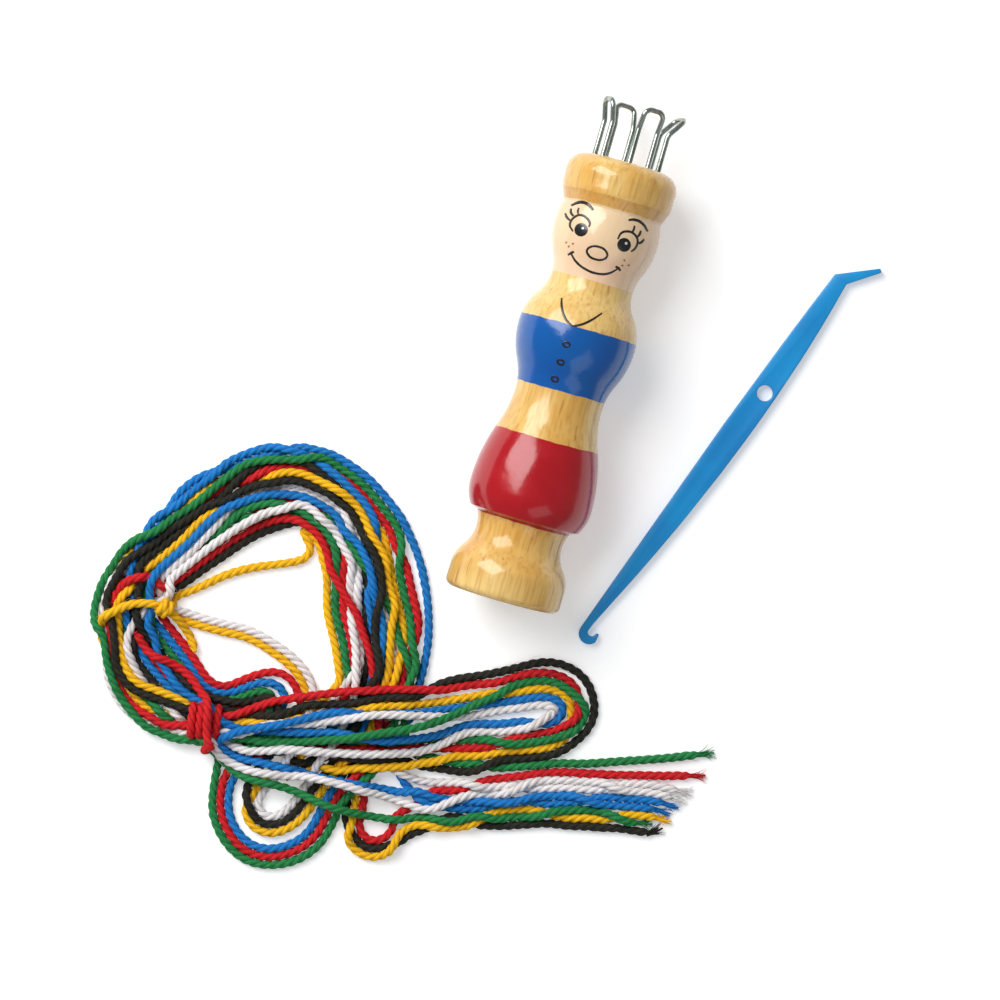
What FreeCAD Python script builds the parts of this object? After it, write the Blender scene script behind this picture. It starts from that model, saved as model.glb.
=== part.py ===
import FreeCAD, Part
import math
import os

# A knitting doll lies on its back on the table, face up, with its stitch tool and a tied hank of yarn.
# Millimetres, +Z up, the table at z = 0. The doll's axis runs along +Y, from its foot to its head.
# Everything is laid out from the middle of the doll's foot face and then moved, so that the origin is
# on the table under the middle of the box round the doll and the tool.

V = FreeCAD.Vector

# Turned body: radii, and heights above the foot face
BASE_R = 13.2
BASE_EDGE_R = 1.8
BASE_TOP_H = 5.2
FOOT_WAIST_R = 9.9
FOOT_WAIST_H = 14.3
HEM_INNER_R = 10.7
HEM_INNER_H = 18.0
HEM_R = 12.5
HEM_RISE = 0.7
SKIRT_R = 14.0
SKIRT_H = 24.0
WAIST_R = 10.0
WAIST_H = 46.3
CHEST_R = 13.4
CHEST_H = 60.9
NECK_R = 9.4
NECK_H = 73.0
HEAD_R = 11.9
HEAD_H = 84.4
BROW_R = 11.2
BROW_H = 89.3
CAP_R = 12.55
CAP_RIM_R = 12.0
CAP_RIM_H = 91.6
CAP_SIDE_H = 95.6
CAP_FLAT_R = 9.0
BODY_H = 100.6
DOME_OUT = 0.72
DOME_UP = 0.74

# Where along its chord each turned curve changes from hollow to full
SKIRT_TURN = 0.62
WAIST_TURN = 0.42
CHEST_TURN = 0.60
NECK_TURN = 0.42
FOOT_TURN = 0.50

# Bore for the knitted cord
BORE_R = 4.5
BORE_EDGE = 0.8

# Wire loops on the head
LOOP_NAMES = ("front", "left", "back", "right")
LOOP_BENDS = (12.0, 15.0, 25.0, 36.0)
FIRST_LOOP_ANGLE = 67.0
LOOP_RING_R = 6.9
WIRE_R = 0.62
LEG_SPACING = 4.6
LEG_DEPTH = 8.0
LEG_STRAIGHT_H = 7.6
LOOP_TIP_LENGTH = 4.4
LOOP_BEND_R = 3.0
CROWN_R = 1.6
LEG_CLEARANCE = 0.02
LEG_HOLE_SPARE = 0.3

# Stitch tool: its length from hook to bend, its widths, and where it lies beside the doll
TOOL_THICKNESS = 2.4
TOOL_LENGTH = 98.5
TOOL_ANGLE = 19.0
TOOL_X = 21.4
TOOL_Y = -3.7
TOOL_NECK_W = 1.9
TOOL_BELLY_W = 6.3
TOOL_BEND_W = 3.4
TOOL_BELLY_S = 66.0
TOOL_BACK_D = -2.9
TOOL_HOLE_R = 1.8
TOOL_HOLE_S = 68.0
HOOK_R = 2.4
HOOK_CENTRE_S = 1.0
THROAT_R = 0.95
PICK_LENGTH = 9.4
PICK_ANGLE = 42.0
PICK_TIP_W = 1.0
HOOK_TIP_W = 0.5
HOOK_NECK_LENGTH = 2.6
HOOK_END_ANGLE = 20.0
HOOK_POINT_RISE = 1.1
HOOK_POINT_SHARE = 0.80
THROAT_RISE = 0.6
THROAT_ASIDE = 0.35
TOOL_HOLE_ASIDE = 0.5
BEND_RISE = 0.4
BACK_INWARDS = 0.45
# Shares of the tool's length, and how far along its widening each place of its belly lies.
BACK_SHARES = (0.78, 0.5)
BELLY_SHARES = ((0.28, 0.40), (0.58, 0.80))

# Yarn: six colours wound together as one flat ribbon, which lies on itself where it crosses
YARN_D = 2.0
SIDE_GAP = 0.4
LAP_GAP = 0.5
STEEPEST = 0.5
SPAN_SAMPLES = 5
NEXT_ARCS = 5
LAY_TURNS = 200
SETTLE_TURNS = 12
LAY_CHECKS = 4
LIGHTEST_SHARE = 0.02
CLEAR_ENOUGH = 0.01
CHORD_STEP = 0.7
FLOOR_Z = YARN_D / 2
PITCH = YARN_D + SIDE_GAP
COLOURS = ("yellow", "black", "red", "white", "blue", "green")
RIBBON_HALF = PITCH * (len(COLOURS) - 1) / 2
SPLIT = 3
HALF_GAP = 0.15
HALF_SHIFT = PITCH * SPLIT / 2 + HALF_GAP
TAILS = ((49.4, -39.5), (50.6, -36.8), (51.5, -34.0), (53.6, -31.0), (55.4, -26.3), (55.7, -20.7))
SECOND_TAILS = ((52.9, -33.4), (50.0, -35.8), (47.3, -38.6))

# Each way is a row of places along the middle of the ribbon, in the order in which it is wound.
# The first colours take the middle bight and the others go straight on; each half has its own middle there.
# The ring's places carry half of the band's width, which its three laps share.
TAIL = ((34.7, -36.6), (19.0, -40.4), (7.8, -45.3), (-2.0, -48.3))
SHORT_WAY = ((-9.0, -44.4), (-13.8, -40.5), (-15.3, -33.0))
MID_BIGHT = ((-7.4, -55.2), (-8.6, -60.6), (-13.2, -64.0), (-18.2, -61.2), (-20.0, -55.0), (-20.8, -45.5),
             (-21.8, -35.0))
RING = ((-21.6, -22.5, 11.2), (-27.1, -9.3, 12.4), (-32.3, 2.5, 9.9), (-42.4, 10.8, 7.9),
        (-55.3, 10.9, 6.1), (-66.4, 0.9, 8.4), (-75.5, -12.0, 7.5))
LAP_SIDES = (-1.0, 1.0, -0.2)
OUTER_WAY = ((-82.2, -24.0), (-79.3, -36.0), (-71.3, -43.5), (-58.6, -45.5))
UNDER_WAY = ((-45.0, -44.5), (-36.0, -43.0), (-29.5, -38.5), (-24.5, -31.0))
INNER_WAY = ((-77.0, -21.0), (-72.5, -28.8), (-62.6, -30.0), (-50.1, -28.6), (-41.5, -32.0), (-38.0, -38.5),
             (-39.5, -46.0))
LEFT_BIGHT = ((-44.5, -54.5), (-45.5, -63.0), (-38.0, -69.0), (-29.5, -64.5), (-26.0, -55.5),
              (-23.5, -46.0), (-20.5, -36.0))
LOOP_OUT = ((-50.0, -43.6), (-43.0, -41.0), (-30.5, -35.8), (-20.0, -31.5), (-9.0, -27.5), (4.7, -20.5),
            (14.5, -15.2), (21.5, -16.2), (24.3, -21.5), (21.0, -27.3), (12.0, -31.5), (2.5, -35.0),
            (-6.4, -38.0), (-15.0, -40.5), (-23.8, -42.8), (-31.0, -44.8), (-38.0, -46.5))
LOOP_JOIN = ((-47.0, -52.5),)
LOOP_SHIFT = 2.0
LEFT_FOLD = ((-53.9, -46.8), (-55.4, -50.2), (-53.9, -53.6), (-50.2, -55.0), (-42.0, -54.2), (-33.0, -52.6),
             (-24.0, -52.4), (-15.0, -52.0), (-6.0, -51.2), (1.5, -49.5))
SECOND_TAIL = ((7.8, -46.8), (19.0, -42.0), (34.7, -37.8))

# Ties: short strands laid over the hank after it is wound
YELLOW_TIE = ((-91.5, -36.5), (-89.0, -30.0), (-84.5, -24.5), (-78.0, -21.5), (-71.5, -21.0), (-65.5, -23.0),
              (-61.0, -26.5))
RED_TIE = ((-52.0, -61.5), (-53.0, -55.0), (-54.5, -48.5), (-56.0, -42.0), (-57.7, -35.5), (-62.5, -32.3),
           (-70.0, -33.9))


def turned_curve(start, end, share):
    """Two arcs that leave start and reach end straight along the axis, and meet at a share of the chord."""
    joint = start + (end - start) * share

    def arc(a, b, vertical_at_a):
        rise, run = b.y - a.y, b.x - a.x
        radius = (rise * rise + run * run) / (2 * abs(run))
        side = math.copysign(1, run)
        fixed = a if vertical_at_a else b
        centre = V(fixed.x + (side if vertical_at_a else -side) * radius, fixed.y, 0)
        middle = (a + b) * 0.5 - centre
        return Part.Arc(a, centre + middle.normalize() * radius, b).toShape()

    return [arc(start, joint, True), arc(joint, end, False)]


def line(a, b):
    return Part.LineSegment(a, b).toShape()


def round_edge(corner, before, after, radius):
    """The two ends and the middle of a rounding of a square corner."""
    a = corner + before * radius
    b = corner + after * radius
    centre = corner + (before + after) * radius
    return a, centre - (before + after).normalize() * radius, b


def turned_body():
    """The wooden body, turned about the Y axis, before the leg holes are drilled."""
    down, out = V(0, -1, 0), V(1, 0, 0)
    base_a, base_m, base_b = round_edge(V(BASE_R, 0, 0), out * -1, down * -1, BASE_EDGE_R)
    base_top, foot_waist = V(BASE_R, BASE_TOP_H, 0), V(FOOT_WAIST_R, FOOT_WAIST_H, 0)
    hem_in = V(HEM_INNER_R, HEM_INNER_H, 0)
    hem = V(HEM_R, HEM_INNER_H + HEM_RISE, 0)
    skirt, waist = V(SKIRT_R, SKIRT_H, 0), V(WAIST_R, WAIST_H, 0)
    chest, neck = V(CHEST_R, CHEST_H, 0), V(NECK_R, NECK_H, 0)
    head, brow = V(HEAD_R, HEAD_H, 0), V(BROW_R, BROW_H, 0)
    cap_rim, cap_low = V(CAP_RIM_R, CAP_RIM_H, 0), V(CAP_R, (CAP_RIM_H + CAP_SIDE_H) / 2, 0)
    cap_side, cap_flat = V(CAP_R, CAP_SIDE_H, 0), V(CAP_FLAT_R, BODY_H, 0)
    dome = V(CAP_FLAT_R + DOME_OUT * (CAP_R - CAP_FLAT_R), CAP_SIDE_H + DOME_UP * (BODY_H - CAP_SIDE_H), 0)
    bore_top = V(BORE_R + BORE_EDGE, BODY_H, 0)
    bore_top_in = V(BORE_R, BODY_H - BORE_EDGE, 0)
    bore_foot_in = V(BORE_R, BORE_EDGE, 0)
    bore_foot = V(BORE_R + BORE_EDGE, 0, 0)

    def bulge(start, end, fixed):
        """An arc between two places on the outline that is upright at one of them."""
        rise, run = end.y - start.y, end.x - start.x
        radius = (rise * rise + run * run) / (2 * abs(run))
        centre = V(fixed.x - radius, fixed.y, 0)
        middle = (start + end) * 0.5 - centre
        return Part.Arc(start, centre + middle.normalize() * radius, end).toShape()

    edges = [line(bore_foot, base_a), Part.Arc(base_a, base_m, base_b).toShape(), line(base_b, base_top)]
    edges += turned_curve(base_top, foot_waist, FOOT_TURN)
    flare = hem_in - foot_waist
    flare_r = flare.dot(flare) / (2 * flare.x)
    flare_c = V(foot_waist.x + flare_r, foot_waist.y, 0)
    flare_m = flare_c + ((foot_waist + hem_in) * 0.5 - flare_c).normalize() * flare_r
    edges += [Part.Arc(foot_waist, flare_m, hem_in).toShape(), line(hem_in, hem), bulge(hem, skirt, skirt)]
    edges += turned_curve(skirt, waist, SKIRT_TURN) + turned_curve(waist, chest, WAIST_TURN)
    edges += turned_curve(chest, neck, CHEST_TURN) + turned_curve(neck, head, NECK_TURN)
    edges += [bulge(head, brow, head), line(brow, cap_rim), bulge(cap_rim, cap_low, cap_low)]
    edges += [line(cap_low, cap_side), Part.Arc(cap_side, dome, cap_flat).toShape(), line(cap_flat, bore_top)]
    edges += [line(bore_top, bore_top_in), line(bore_top_in, bore_foot_in), line(bore_foot_in, bore_foot)]
    return Part.Face(Part.Wire(edges)).revolve(V(0, 0, 0), V(0, 1, 0), 360)


def tube(edges, radius):
    """A solid round tube along joined edges, in the pipe shell's default mode."""
    first = edges[0]
    start = first.valueAt(first.FirstParameter)
    along = first.tangentAt(first.FirstParameter)
    ring = Part.Wire(Part.makeCircle(radius, start, along))
    return Part.Wire(edges).makePipeShell([ring], True, False)


def turned_back(edge, straight):
    """The same line or arc from its end to its start."""
    start, end = edge.valueAt(edge.FirstParameter), edge.valueAt(edge.LastParameter)
    if straight:
        return line(end, start)
    return Part.Arc(end, edge.valueAt((edge.FirstParameter + edge.LastParameter) / 2), start).toShape()


def loop_edges(bend):
    """A loop's wire, in its own frame: legs along Y and LEG_SPACING apart along X, bent towards +Z."""
    half = LEG_SPACING / 2
    turn = math.radians(bend)
    up = V(0, math.cos(turn), math.sin(turn))
    bend_end = V(0, LEG_STRAIGHT_H + LOOP_BEND_R * math.sin(turn), LOOP_BEND_R * (1 - math.cos(turn)))
    bend_mid = V(0, LEG_STRAIGHT_H + LOOP_BEND_R * math.sin(turn / 2), LOOP_BEND_R * (1 - math.cos(turn / 2)))
    shoulder = bend_end + up * (LOOP_TIP_LENGTH - CROWN_R)
    corner = CROWN_R * (1 - math.sqrt(0.5))
    edges = []
    for side in (-1, 1):
        across = V(side, 0, 0)
        leg = across * half
        points = [leg + V(0, -LEG_DEPTH, 0), leg + V(0, LEG_STRAIGHT_H, 0), leg + bend_mid, leg + bend_end]
        crown = shoulder + up * CROWN_R - across * CROWN_R + leg
        crown_mid = shoulder + up * (CROWN_R - corner) - across * corner + leg
        half_loop = [line(points[0], points[1]), Part.Arc(points[1], points[2], points[3]).toShape(),
                     line(points[3], shoulder + leg), Part.Arc(shoulder + leg, crown_mid, crown).toShape()]
        if side < 0:
            edges += half_loop + [line(crown, crown + V(LEG_SPACING - 2 * CROWN_R, 0, 0))]
        else:
            edges += [turned_back(edge, i in (0, 2)) for i, edge in reversed(list(enumerate(half_loop)))]
    return edges


def place_on_ring(shape, angle):
    """Sets a loop, or the drill for its legs, on the ring of loops in the head's top."""
    placed = shape.copy()
    placed.translate(V(0, BODY_H, LOOP_RING_R))
    placed.rotate(V(0, 0, 0), V(0, 1, 0), 90 - angle)
    return placed


def doll():
    """The body with its leg holes, and the four loops, about the Y axis."""
    body = turned_body()
    loops = {}
    for i, (name, bend) in enumerate(zip(LOOP_NAMES, LOOP_BENDS)):
        angle = FIRST_LOOP_ANGLE + i * 360 / len(LOOP_NAMES)
        loops["wire_loop_" + name] = place_on_ring(tube(loop_edges(bend), WIRE_R), angle)
        for side in (-1, 1):
            depth = LEG_DEPTH + LEG_HOLE_SPARE
            drill = Part.makeCylinder(WIRE_R + LEG_CLEARANCE, 2 * depth, V(side * LEG_SPACING / 2, -depth, 0),
                                      V(0, 1, 0))
            body = body.cut(place_on_ring(drill, angle))
    return {"doll_body": body, **loops}


def stitch_tool():
    """The flat tool in its own frame, its hook near the origin and its length along Y, then laid in place."""
    def at(s, d):
        return V(d, s, 0)

    def smooth(points):
        curve = Part.BSplineCurve()
        curve.interpolate(points)
        return curve.toShape()

    neck_right = TOOL_BACK_D + TOOL_NECK_W
    belly_right = TOOL_BACK_D + TOOL_BELLY_W
    bend_left = -TOOL_BEND_W / 2
    bend_right = TOOL_BEND_W / 2
    hook_d = TOOL_BACK_D + HOOK_R
    hook_end = math.radians(HOOK_END_ANGLE)
    outer_end = at(HOOK_CENTRE_S - HOOK_R * math.sin(hook_end), hook_d + HOOK_R * math.cos(hook_end))
    throat_c = at(HOOK_CENTRE_S + THROAT_RISE, hook_d + THROAT_ASIDE)
    throat_in = throat_c + V(-THROAT_R, 0, 0)
    throat_low = throat_c + V(0, -THROAT_R, 0)
    throat_out = throat_c + V(THROAT_R * 0.75, -THROAT_R * 0.66, 0)
    point = at(HOOK_CENTRE_S + HOOK_POINT_RISE, hook_d + HOOK_R * HOOK_POINT_SHARE)
    point_in = point - V(HOOK_TIP_W, 0, 0)
    neck_s = HOOK_CENTRE_S + HOOK_NECK_LENGTH
    turn = math.radians(PICK_ANGLE)
    way = V(math.sin(turn), math.cos(turn), 0)
    side = V(math.cos(turn), -math.sin(turn), 0)
    tip = at(TOOL_LENGTH, 0) + way * PICK_LENGTH
    tip_a, tip_b = tip - side * (PICK_TIP_W / 2), tip + side * (PICK_TIP_W / 2)
    corner_out, corner_in = at(TOOL_LENGTH + BEND_RISE, bend_left), at(TOOL_LENGTH, bend_right)
    back = [corner_out, at(TOOL_LENGTH * BACK_SHARES[0], TOOL_BACK_D + BACK_INWARDS),
            at(TOOL_LENGTH * BACK_SHARES[1], TOOL_BACK_D), at(neck_s, TOOL_BACK_D)]
    widen = belly_right - neck_right
    belly = [at(neck_s, neck_right)]
    belly += [at(TOOL_BELLY_S * along, neck_right + widen * wider) for along, wider in BELLY_SHARES]
    belly += [at(TOOL_BELLY_S, belly_right),
              at((TOOL_BELLY_S + TOOL_LENGTH) * 0.53, (belly_right * 0.58 + bend_right * 0.42)), corner_in]
    hook_start = at(HOOK_CENTRE_S, TOOL_BACK_D)
    outline = [smooth(belly), line(corner_in, tip_b), line(tip_b, tip_a), line(tip_a, corner_out),
               smooth(back), line(at(neck_s, TOOL_BACK_D), hook_start),
               Part.Arc(hook_start, at(HOOK_CENTRE_S - HOOK_R, hook_d), outer_end).toShape(),
               line(outer_end, point), line(point, point_in), line(point_in, throat_out),
               Part.Arc(throat_out, throat_low, throat_in).toShape(),
               line(throat_in, at(neck_s, neck_right))]
    body = Part.Face(Part.Wire(outline)).extrude(V(0, 0, TOOL_THICKNESS))
    hole_d = (TOOL_BACK_D + belly_right) / 2 + TOOL_HOLE_ASIDE
    hole_foot = at(TOOL_HOLE_S, hole_d) - V(0, 0, TOOL_THICKNESS)
    hole = Part.makeCylinder(TOOL_HOLE_R, 3 * TOOL_THICKNESS, hole_foot)
    body = body.cut(hole)
    body.rotate(V(0, 0, 0), V(0, 0, 1), -TOOL_ANGLE)
    body.translate(V(TOOL_X, TOOL_Y, 0))
    return body


def beside(places, slot):
    """A strand's plan along a way: each place moved to the left by the strand's distance from the middle."""
    points = []
    for i, place in enumerate(places):
        before, after = places[max(i - 1, 0)], places[min(i + 1, len(places) - 1)]
        way = V(after[0] - before[0], after[1] - before[1], 0).normalize()
        points.append(V(place[0] - way.y * slot, place[1] + way.x * slot, 0))
    return points


def ring_lap(side):
    """A lap of the ring, moved towards one side of the band."""
    places = []
    for (x, y, half), moved in zip(RING, beside(RING, 1.0)):
        spare = side * max(half - RIBBON_HALF - YARN_D / 2, 0.0)
        places.append((x + (moved.x - x) * spare, y + (moved.y - y) * spare))
    return places


def half_plan(first_half):
    """The middle strand of half the ribbon seen from above, and each point's number and place."""
    middle = HALF_SHIFT if first_half else -HALF_SHIFT
    laps = [ring_lap(side) for side in LAP_SIDES]
    wound = (laps[0], OUTER_WAY, UNDER_WAY, laps[1], INNER_WAY, LEFT_BIGHT, laps[2], OUTER_WAY)
    number, way = (2, MID_BIGHT) if first_half else (1, SHORT_WAY)
    ways = {0: beside(TAIL, middle), number: beside(way, 0.0)}
    ways.update({3 + i: beside(way, middle) for i, way in enumerate(wound)})
    if first_half:
        ways[11] = beside(LOOP_OUT, LOOP_SHIFT)
    else:
        ways[12] = beside(LOOP_OUT + LOOP_JOIN, -LOOP_SHIFT)[::-1]
        ways[13] = beside(LEFT_FOLD + SECOND_TAIL, 0.0)
    points = [point for way in ways.values() for point in way]
    keys = [(number, i) for number, way in ways.items() for i in range(len(way))]
    return points, keys


def strand_plan(colour):
    """A colour's way seen from above, beside the middle strand of its half of the ribbon."""
    index = COLOURS.index(colour)
    first_half = index < SPLIT
    middle, keys = half_plan(first_half)
    slot = PITCH * (1 - index % SPLIT)
    points = [spot + V(-way.y, way.x, 0) * slot for spot, way in zip(middle, tangents(middle))]
    points, keys = [V(*TAILS[index], 0)] + points, [(-1, 0)] + keys
    if first_half:
        return points, keys
    return points + [V(*SECOND_TAILS[index - SPLIT], 0)], keys + [(14, 0)]


def span_samples(strand, plan):
    """Places along a strand: the spot seen from above, the span's keys, the share of the span, the arc."""
    points, keys = plan
    found = []
    for number, piece in enumerate(arcs_through(points)):
        span, half = divmod(number, 2)
        for k in range(SPAN_SAMPLES):
            share = (k + 0.5) / SPAN_SAMPLES
            found.append((on_arc(piece, share), (keys[span], keys[span + 1], (half + share) / 2),
                          (strand, number, share)))
    return found


def crossings(samples):
    """Places of two strands that come too near each other seen from above, the later one as the upper one."""
    reach = YARN_D + LAP_GAP
    cells = {}
    for sample in samples:
        cells.setdefault((int(sample[0].x // reach), int(sample[0].y // reach)), []).append(sample)
    found = []
    for (cx, cy), group in cells.items():
        near = [sample for nx in (cx - 1, cx, cx + 1) for ny in (cy - 1, cy, cy + 1)
                for sample in cells.get((nx, ny), ())]
        for spot, upper, upper_arc in group:
            for other, lower, lower_arc in near:
                apart = (spot - other).Length
                beyond = abs(upper_arc[1] - lower_arc[1]) > NEXT_ARCS
                beyond = beyond or upper_arc[0] // SPLIT != lower_arc[0] // SPLIT
                if apart < reach and beyond and not set(upper[:2]) & set(lower[:2]) and upper[:2] > lower[:2]:
                    rise = math.sqrt(reach * reach - apart * apart)
                    found.append([lower, upper, rise, lower_arc, upper_arc, rise])
    return found


def height_at(place, high):
    start, end, share = place
    return high[start] * (1 - share) + high[end] * share


def lowest_place(key, high, pairs, slopes):
    """How low a place can come down, with the others as they are."""
    floor = 0.0
    for lower, upper, rise, *arcs in pairs:
        start, end, share = upper
        weight, other = (1 - share, high[end] * share) if key == start else (share, high[start] * (1 - share))
        if weight > LIGHTEST_SHARE:
            floor = max(floor, (height_at(lower, high) + rise - other) / weight)
    for (start, end), step in slopes:
        floor = max(floor, high[end if key == start else start] - step)
    return min(floor, high[key])


def lay(high, pairs, slopes):
    """Raises the places until every crossing is clear and no climb too steep, then lowers each one."""
    for turn in range(LAY_TURNS):
        worst = 0.0
        for lower, upper, rise, *arcs in pairs:
            short = height_at(lower, high) + rise - height_at(upper, high)
            if short > 0.0:
                start, end, share = upper
                worst = max(worst, short)
                weight = (1 - share) ** 2 + share ** 2
                high[start] += short * (1 - share) / weight
                high[end] += short * share / weight
        for (start, end), step in slopes.items():
            high[start] = max(high[start], high[end] - step)
            high[end] = max(high[end], high[start] - step)
        if worst < CLEAR_ENOUGH:
            break
    over = {key: [pair for pair in pairs if key in pair[1][:2]] for key in high}
    along = {key: [item for item in slopes.items() if key in item[0]] for key in high}
    for key in sorted(high) * SETTLE_TURNS:
        high[key] = lowest_place(key, high, over[key], along[key])
    return worst


def heights(plans):
    """Each place's height above the table, as low as clear crossings and gentle climbs let it be."""
    high = {key: 0.0 for points, keys in plans for key in keys}
    pairs = crossings([sample for strand, plan in enumerate(plans) for sample in span_samples(strand, plan)])
    slopes = {}
    for points, keys in plans:
        for i, span in enumerate(zip(keys, keys[1:])):
            slopes[span] = max(STEEPEST * (points[i + 1] - points[i]).Length, slopes.get(span, 0.0))
    for check in range(LAY_CHECKS):
        short = lay(high, pairs, slopes)
        arcs = [arcs_through(laid_points(plan, high)) for plan in plans]
        worst = 0.0
        for pair in pairs:
            (low_strand, low_arc, low_share), (up_strand, up_arc, up_share), needed = pair[3:]
            rise = on_arc(arcs[up_strand][up_arc], up_share).z
            rise -= on_arc(arcs[low_strand][low_arc], low_share).z
            worst = max(worst, needed - rise)
            pair[2] += max(needed - rise, 0.0)
        print("laid, short by", round(short, 3), "and on the arcs by", round(worst, 3), "highest",
              round(max(high.values()), 1))
    return high


def laid_points(plan, high):
    """A strand's plan at its heights."""
    points, keys = plan
    return [spot + V(0, 0, FLOOR_Z + high[key]) for spot, key in zip(points, keys)]


def climb(back, ahead):
    """The slope at a point between two spans: the gentler of both, or none at a top or a bottom."""
    before, after = (span.z / math.hypot(span.x, span.y) for span in (back, ahead))
    return math.copysign(min(abs(before), abs(after)), before) if before * after > 0 else 0.0


def tangents(points):
    """At each point, the way of the circle through it and its neighbours, climbing as they do."""
    ways = []
    for i, point in enumerate(points):
        back = point - points[i - 1] if i else points[1] - point
        ahead = points[i + 1] - point if i < len(points) - 1 else back
        way = back * (1 / back.dot(back)) + ahead * (1 / ahead.dot(ahead))
        ways.append(V(way.x, way.y, climb(back, ahead) * math.hypot(way.x, way.y)).normalize())
    return ways


def biarc(start, way_in, end, way_out):
    """Two tangent arcs from start to end, each as its first, control and last points."""
    gap, sum_ways = end - start, way_in + way_out
    spare = 2 * (1 - way_in.dot(way_out))
    reach = gap.dot(sum_ways)
    if spare < 1e-6:
        length = gap.dot(gap) / (2 * reach)
    else:
        length = (-reach + math.sqrt(reach * reach + spare * gap.dot(gap))) / spare
    first, second = start + way_in * length, end - way_out * length
    joint = (first + second) * 0.5
    return ((start, first, joint), (joint, second, end))


def on_arc(piece, share):
    """A point on an arc that is given by its ends and its control point."""
    start, control, end = piece
    weight = (end - start).Length / (2 * (control - start).Length)
    a, b, c = (1 - share) ** 2, 2 * weight * share * (1 - share), share ** 2
    return (start * a + control * b + end * c) * (1 / (a + b + c))


def arc_radius(piece):
    start, control, end = piece
    half, side = (end - start).Length / 2, (control - start).Length
    rise = math.sqrt(max(side * side - half * half, 1e-12))
    return half * side / rise


def arcs_through(points):
    ways = tangents(points)
    return [piece for i in range(len(points) - 1)
            for piece in biarc(points[i], ways[i], points[i + 1], ways[i + 1])]


def arc_tube(points, diameter):
    """A round tube on tangent arcs through the points."""
    edges = []
    for piece in arcs_through(points):
        chord, side = (piece[2] - piece[0]).Length, 2 * (piece[1] - piece[0]).Length
        if side - chord < 1e-5:
            edges.append(line(piece[0], piece[2]))
        else:
            edges.append(Part.Arc(piece[0], on_arc(piece, 0.5), piece[2]).toShape())
    return tube(edges, diameter / 2)


def least_gap(points_a, points_b, own):
    """The least distance between the surfaces of two strands, or of one to itself, measured on points."""
    size = 3 * YARN_D
    cells = {}
    for index, (spot, along) in enumerate(points_b):
        cells.setdefault((int(spot.x // size), int(spot.y // size)), []).append(index)
    best = size
    for spot, along in points_a:
        cx, cy = int(spot.x // size), int(spot.y // size)
        for nx in (cx - 1, cx, cx + 1):
            for ny in (cy - 1, cy, cy + 1):
                for index in cells.get((nx, ny), ()):
                    other, far = points_b[index]
                    if own and abs(far - along) < 4 * YARN_D:
                        continue
                    best = min(best, (other - spot).Length)
    return best - YARN_D


def fine_points(points):
    """Close places along a strand, each with how far along it lies."""
    found, travelled = [], 0.0
    for piece in arcs_through(points):
        chord = (piece[2] - piece[0]).Length
        count = max(2, int(chord / CHORD_STEP))
        found += [(on_arc(piece, k / count), travelled + k / count * chord) for k in range(count)]
        travelled += chord
    return found


def hank():
    """The six colours of yarn and the two ties, each one unbroken tube."""
    tubes, fine = {}, {}
    plans = {"yarn_" + colour: strand_plan(colour) for colour in COLOURS}
    for number, (name, places) in enumerate((("yellow_tie", YELLOW_TIE), ("red_tie", RED_TIE))):
        plans[name] = [V(*place, 0) for place in places], [(15 + number, i) for i in range(len(places))]
    high = heights(list(plans.values()))
    for name, plan in plans.items():
        points = laid_points(plan, high)
        pieces = arcs_through(points)
        fine[name] = fine_points(points)
        length = fine[name][-1][1]
        tubes[name] = arc_tube(points, YARN_D)
        print(name, "tightest arc", round(min(arc_radius(p) for p in pieces), 2), "mm, arcs",
              len(pieces), "length", round(length), "mm, least gap to itself",
              round(least_gap(fine[name], fine[name], True), 2), "mm, volume over section times length",
              round(tubes[name].Volume / (math.pi * YARN_D ** 2 / 4 * length), 4))
    names = list(plans)
    for i, a in enumerate(names):
        print("least gaps of", a, [(b, round(least_gap(fine[a], fine[b], False), 2)) for b in names[i + 1:]])
    return tubes


def main():
    os.makedirs("parts", exist_ok=True)
    nodes = doll()
    for shape in nodes.values():
        shape.translate(V(0, 0, SKIRT_R))
    nodes["stitch_tool"] = stitch_tool()
    yarn = hank()
    box = Part.makeCompound(list(nodes.values())).optimalBoundingBox(False, False)
    shift = V(-(box.XMin + box.XMax) / 2, -(box.YMin + box.YMax) / 2, 0)
    print("moved by", shift, "box", box)
    nodes.update(yarn)
    for name, shape in nodes.items():
        shape.translate(shift)
        print(name, "valid", shape.isValid(), "volume", round(shape.Volume, 1), "solids", len(shape.Solids))
        shape.exportStep("parts/" + name + ".step")


main()
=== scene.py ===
import logging
import math
from dataclasses import dataclass, field
from enum import Enum

import bpy
import numpy as np
from mathutils import Matrix, Vector


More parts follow.
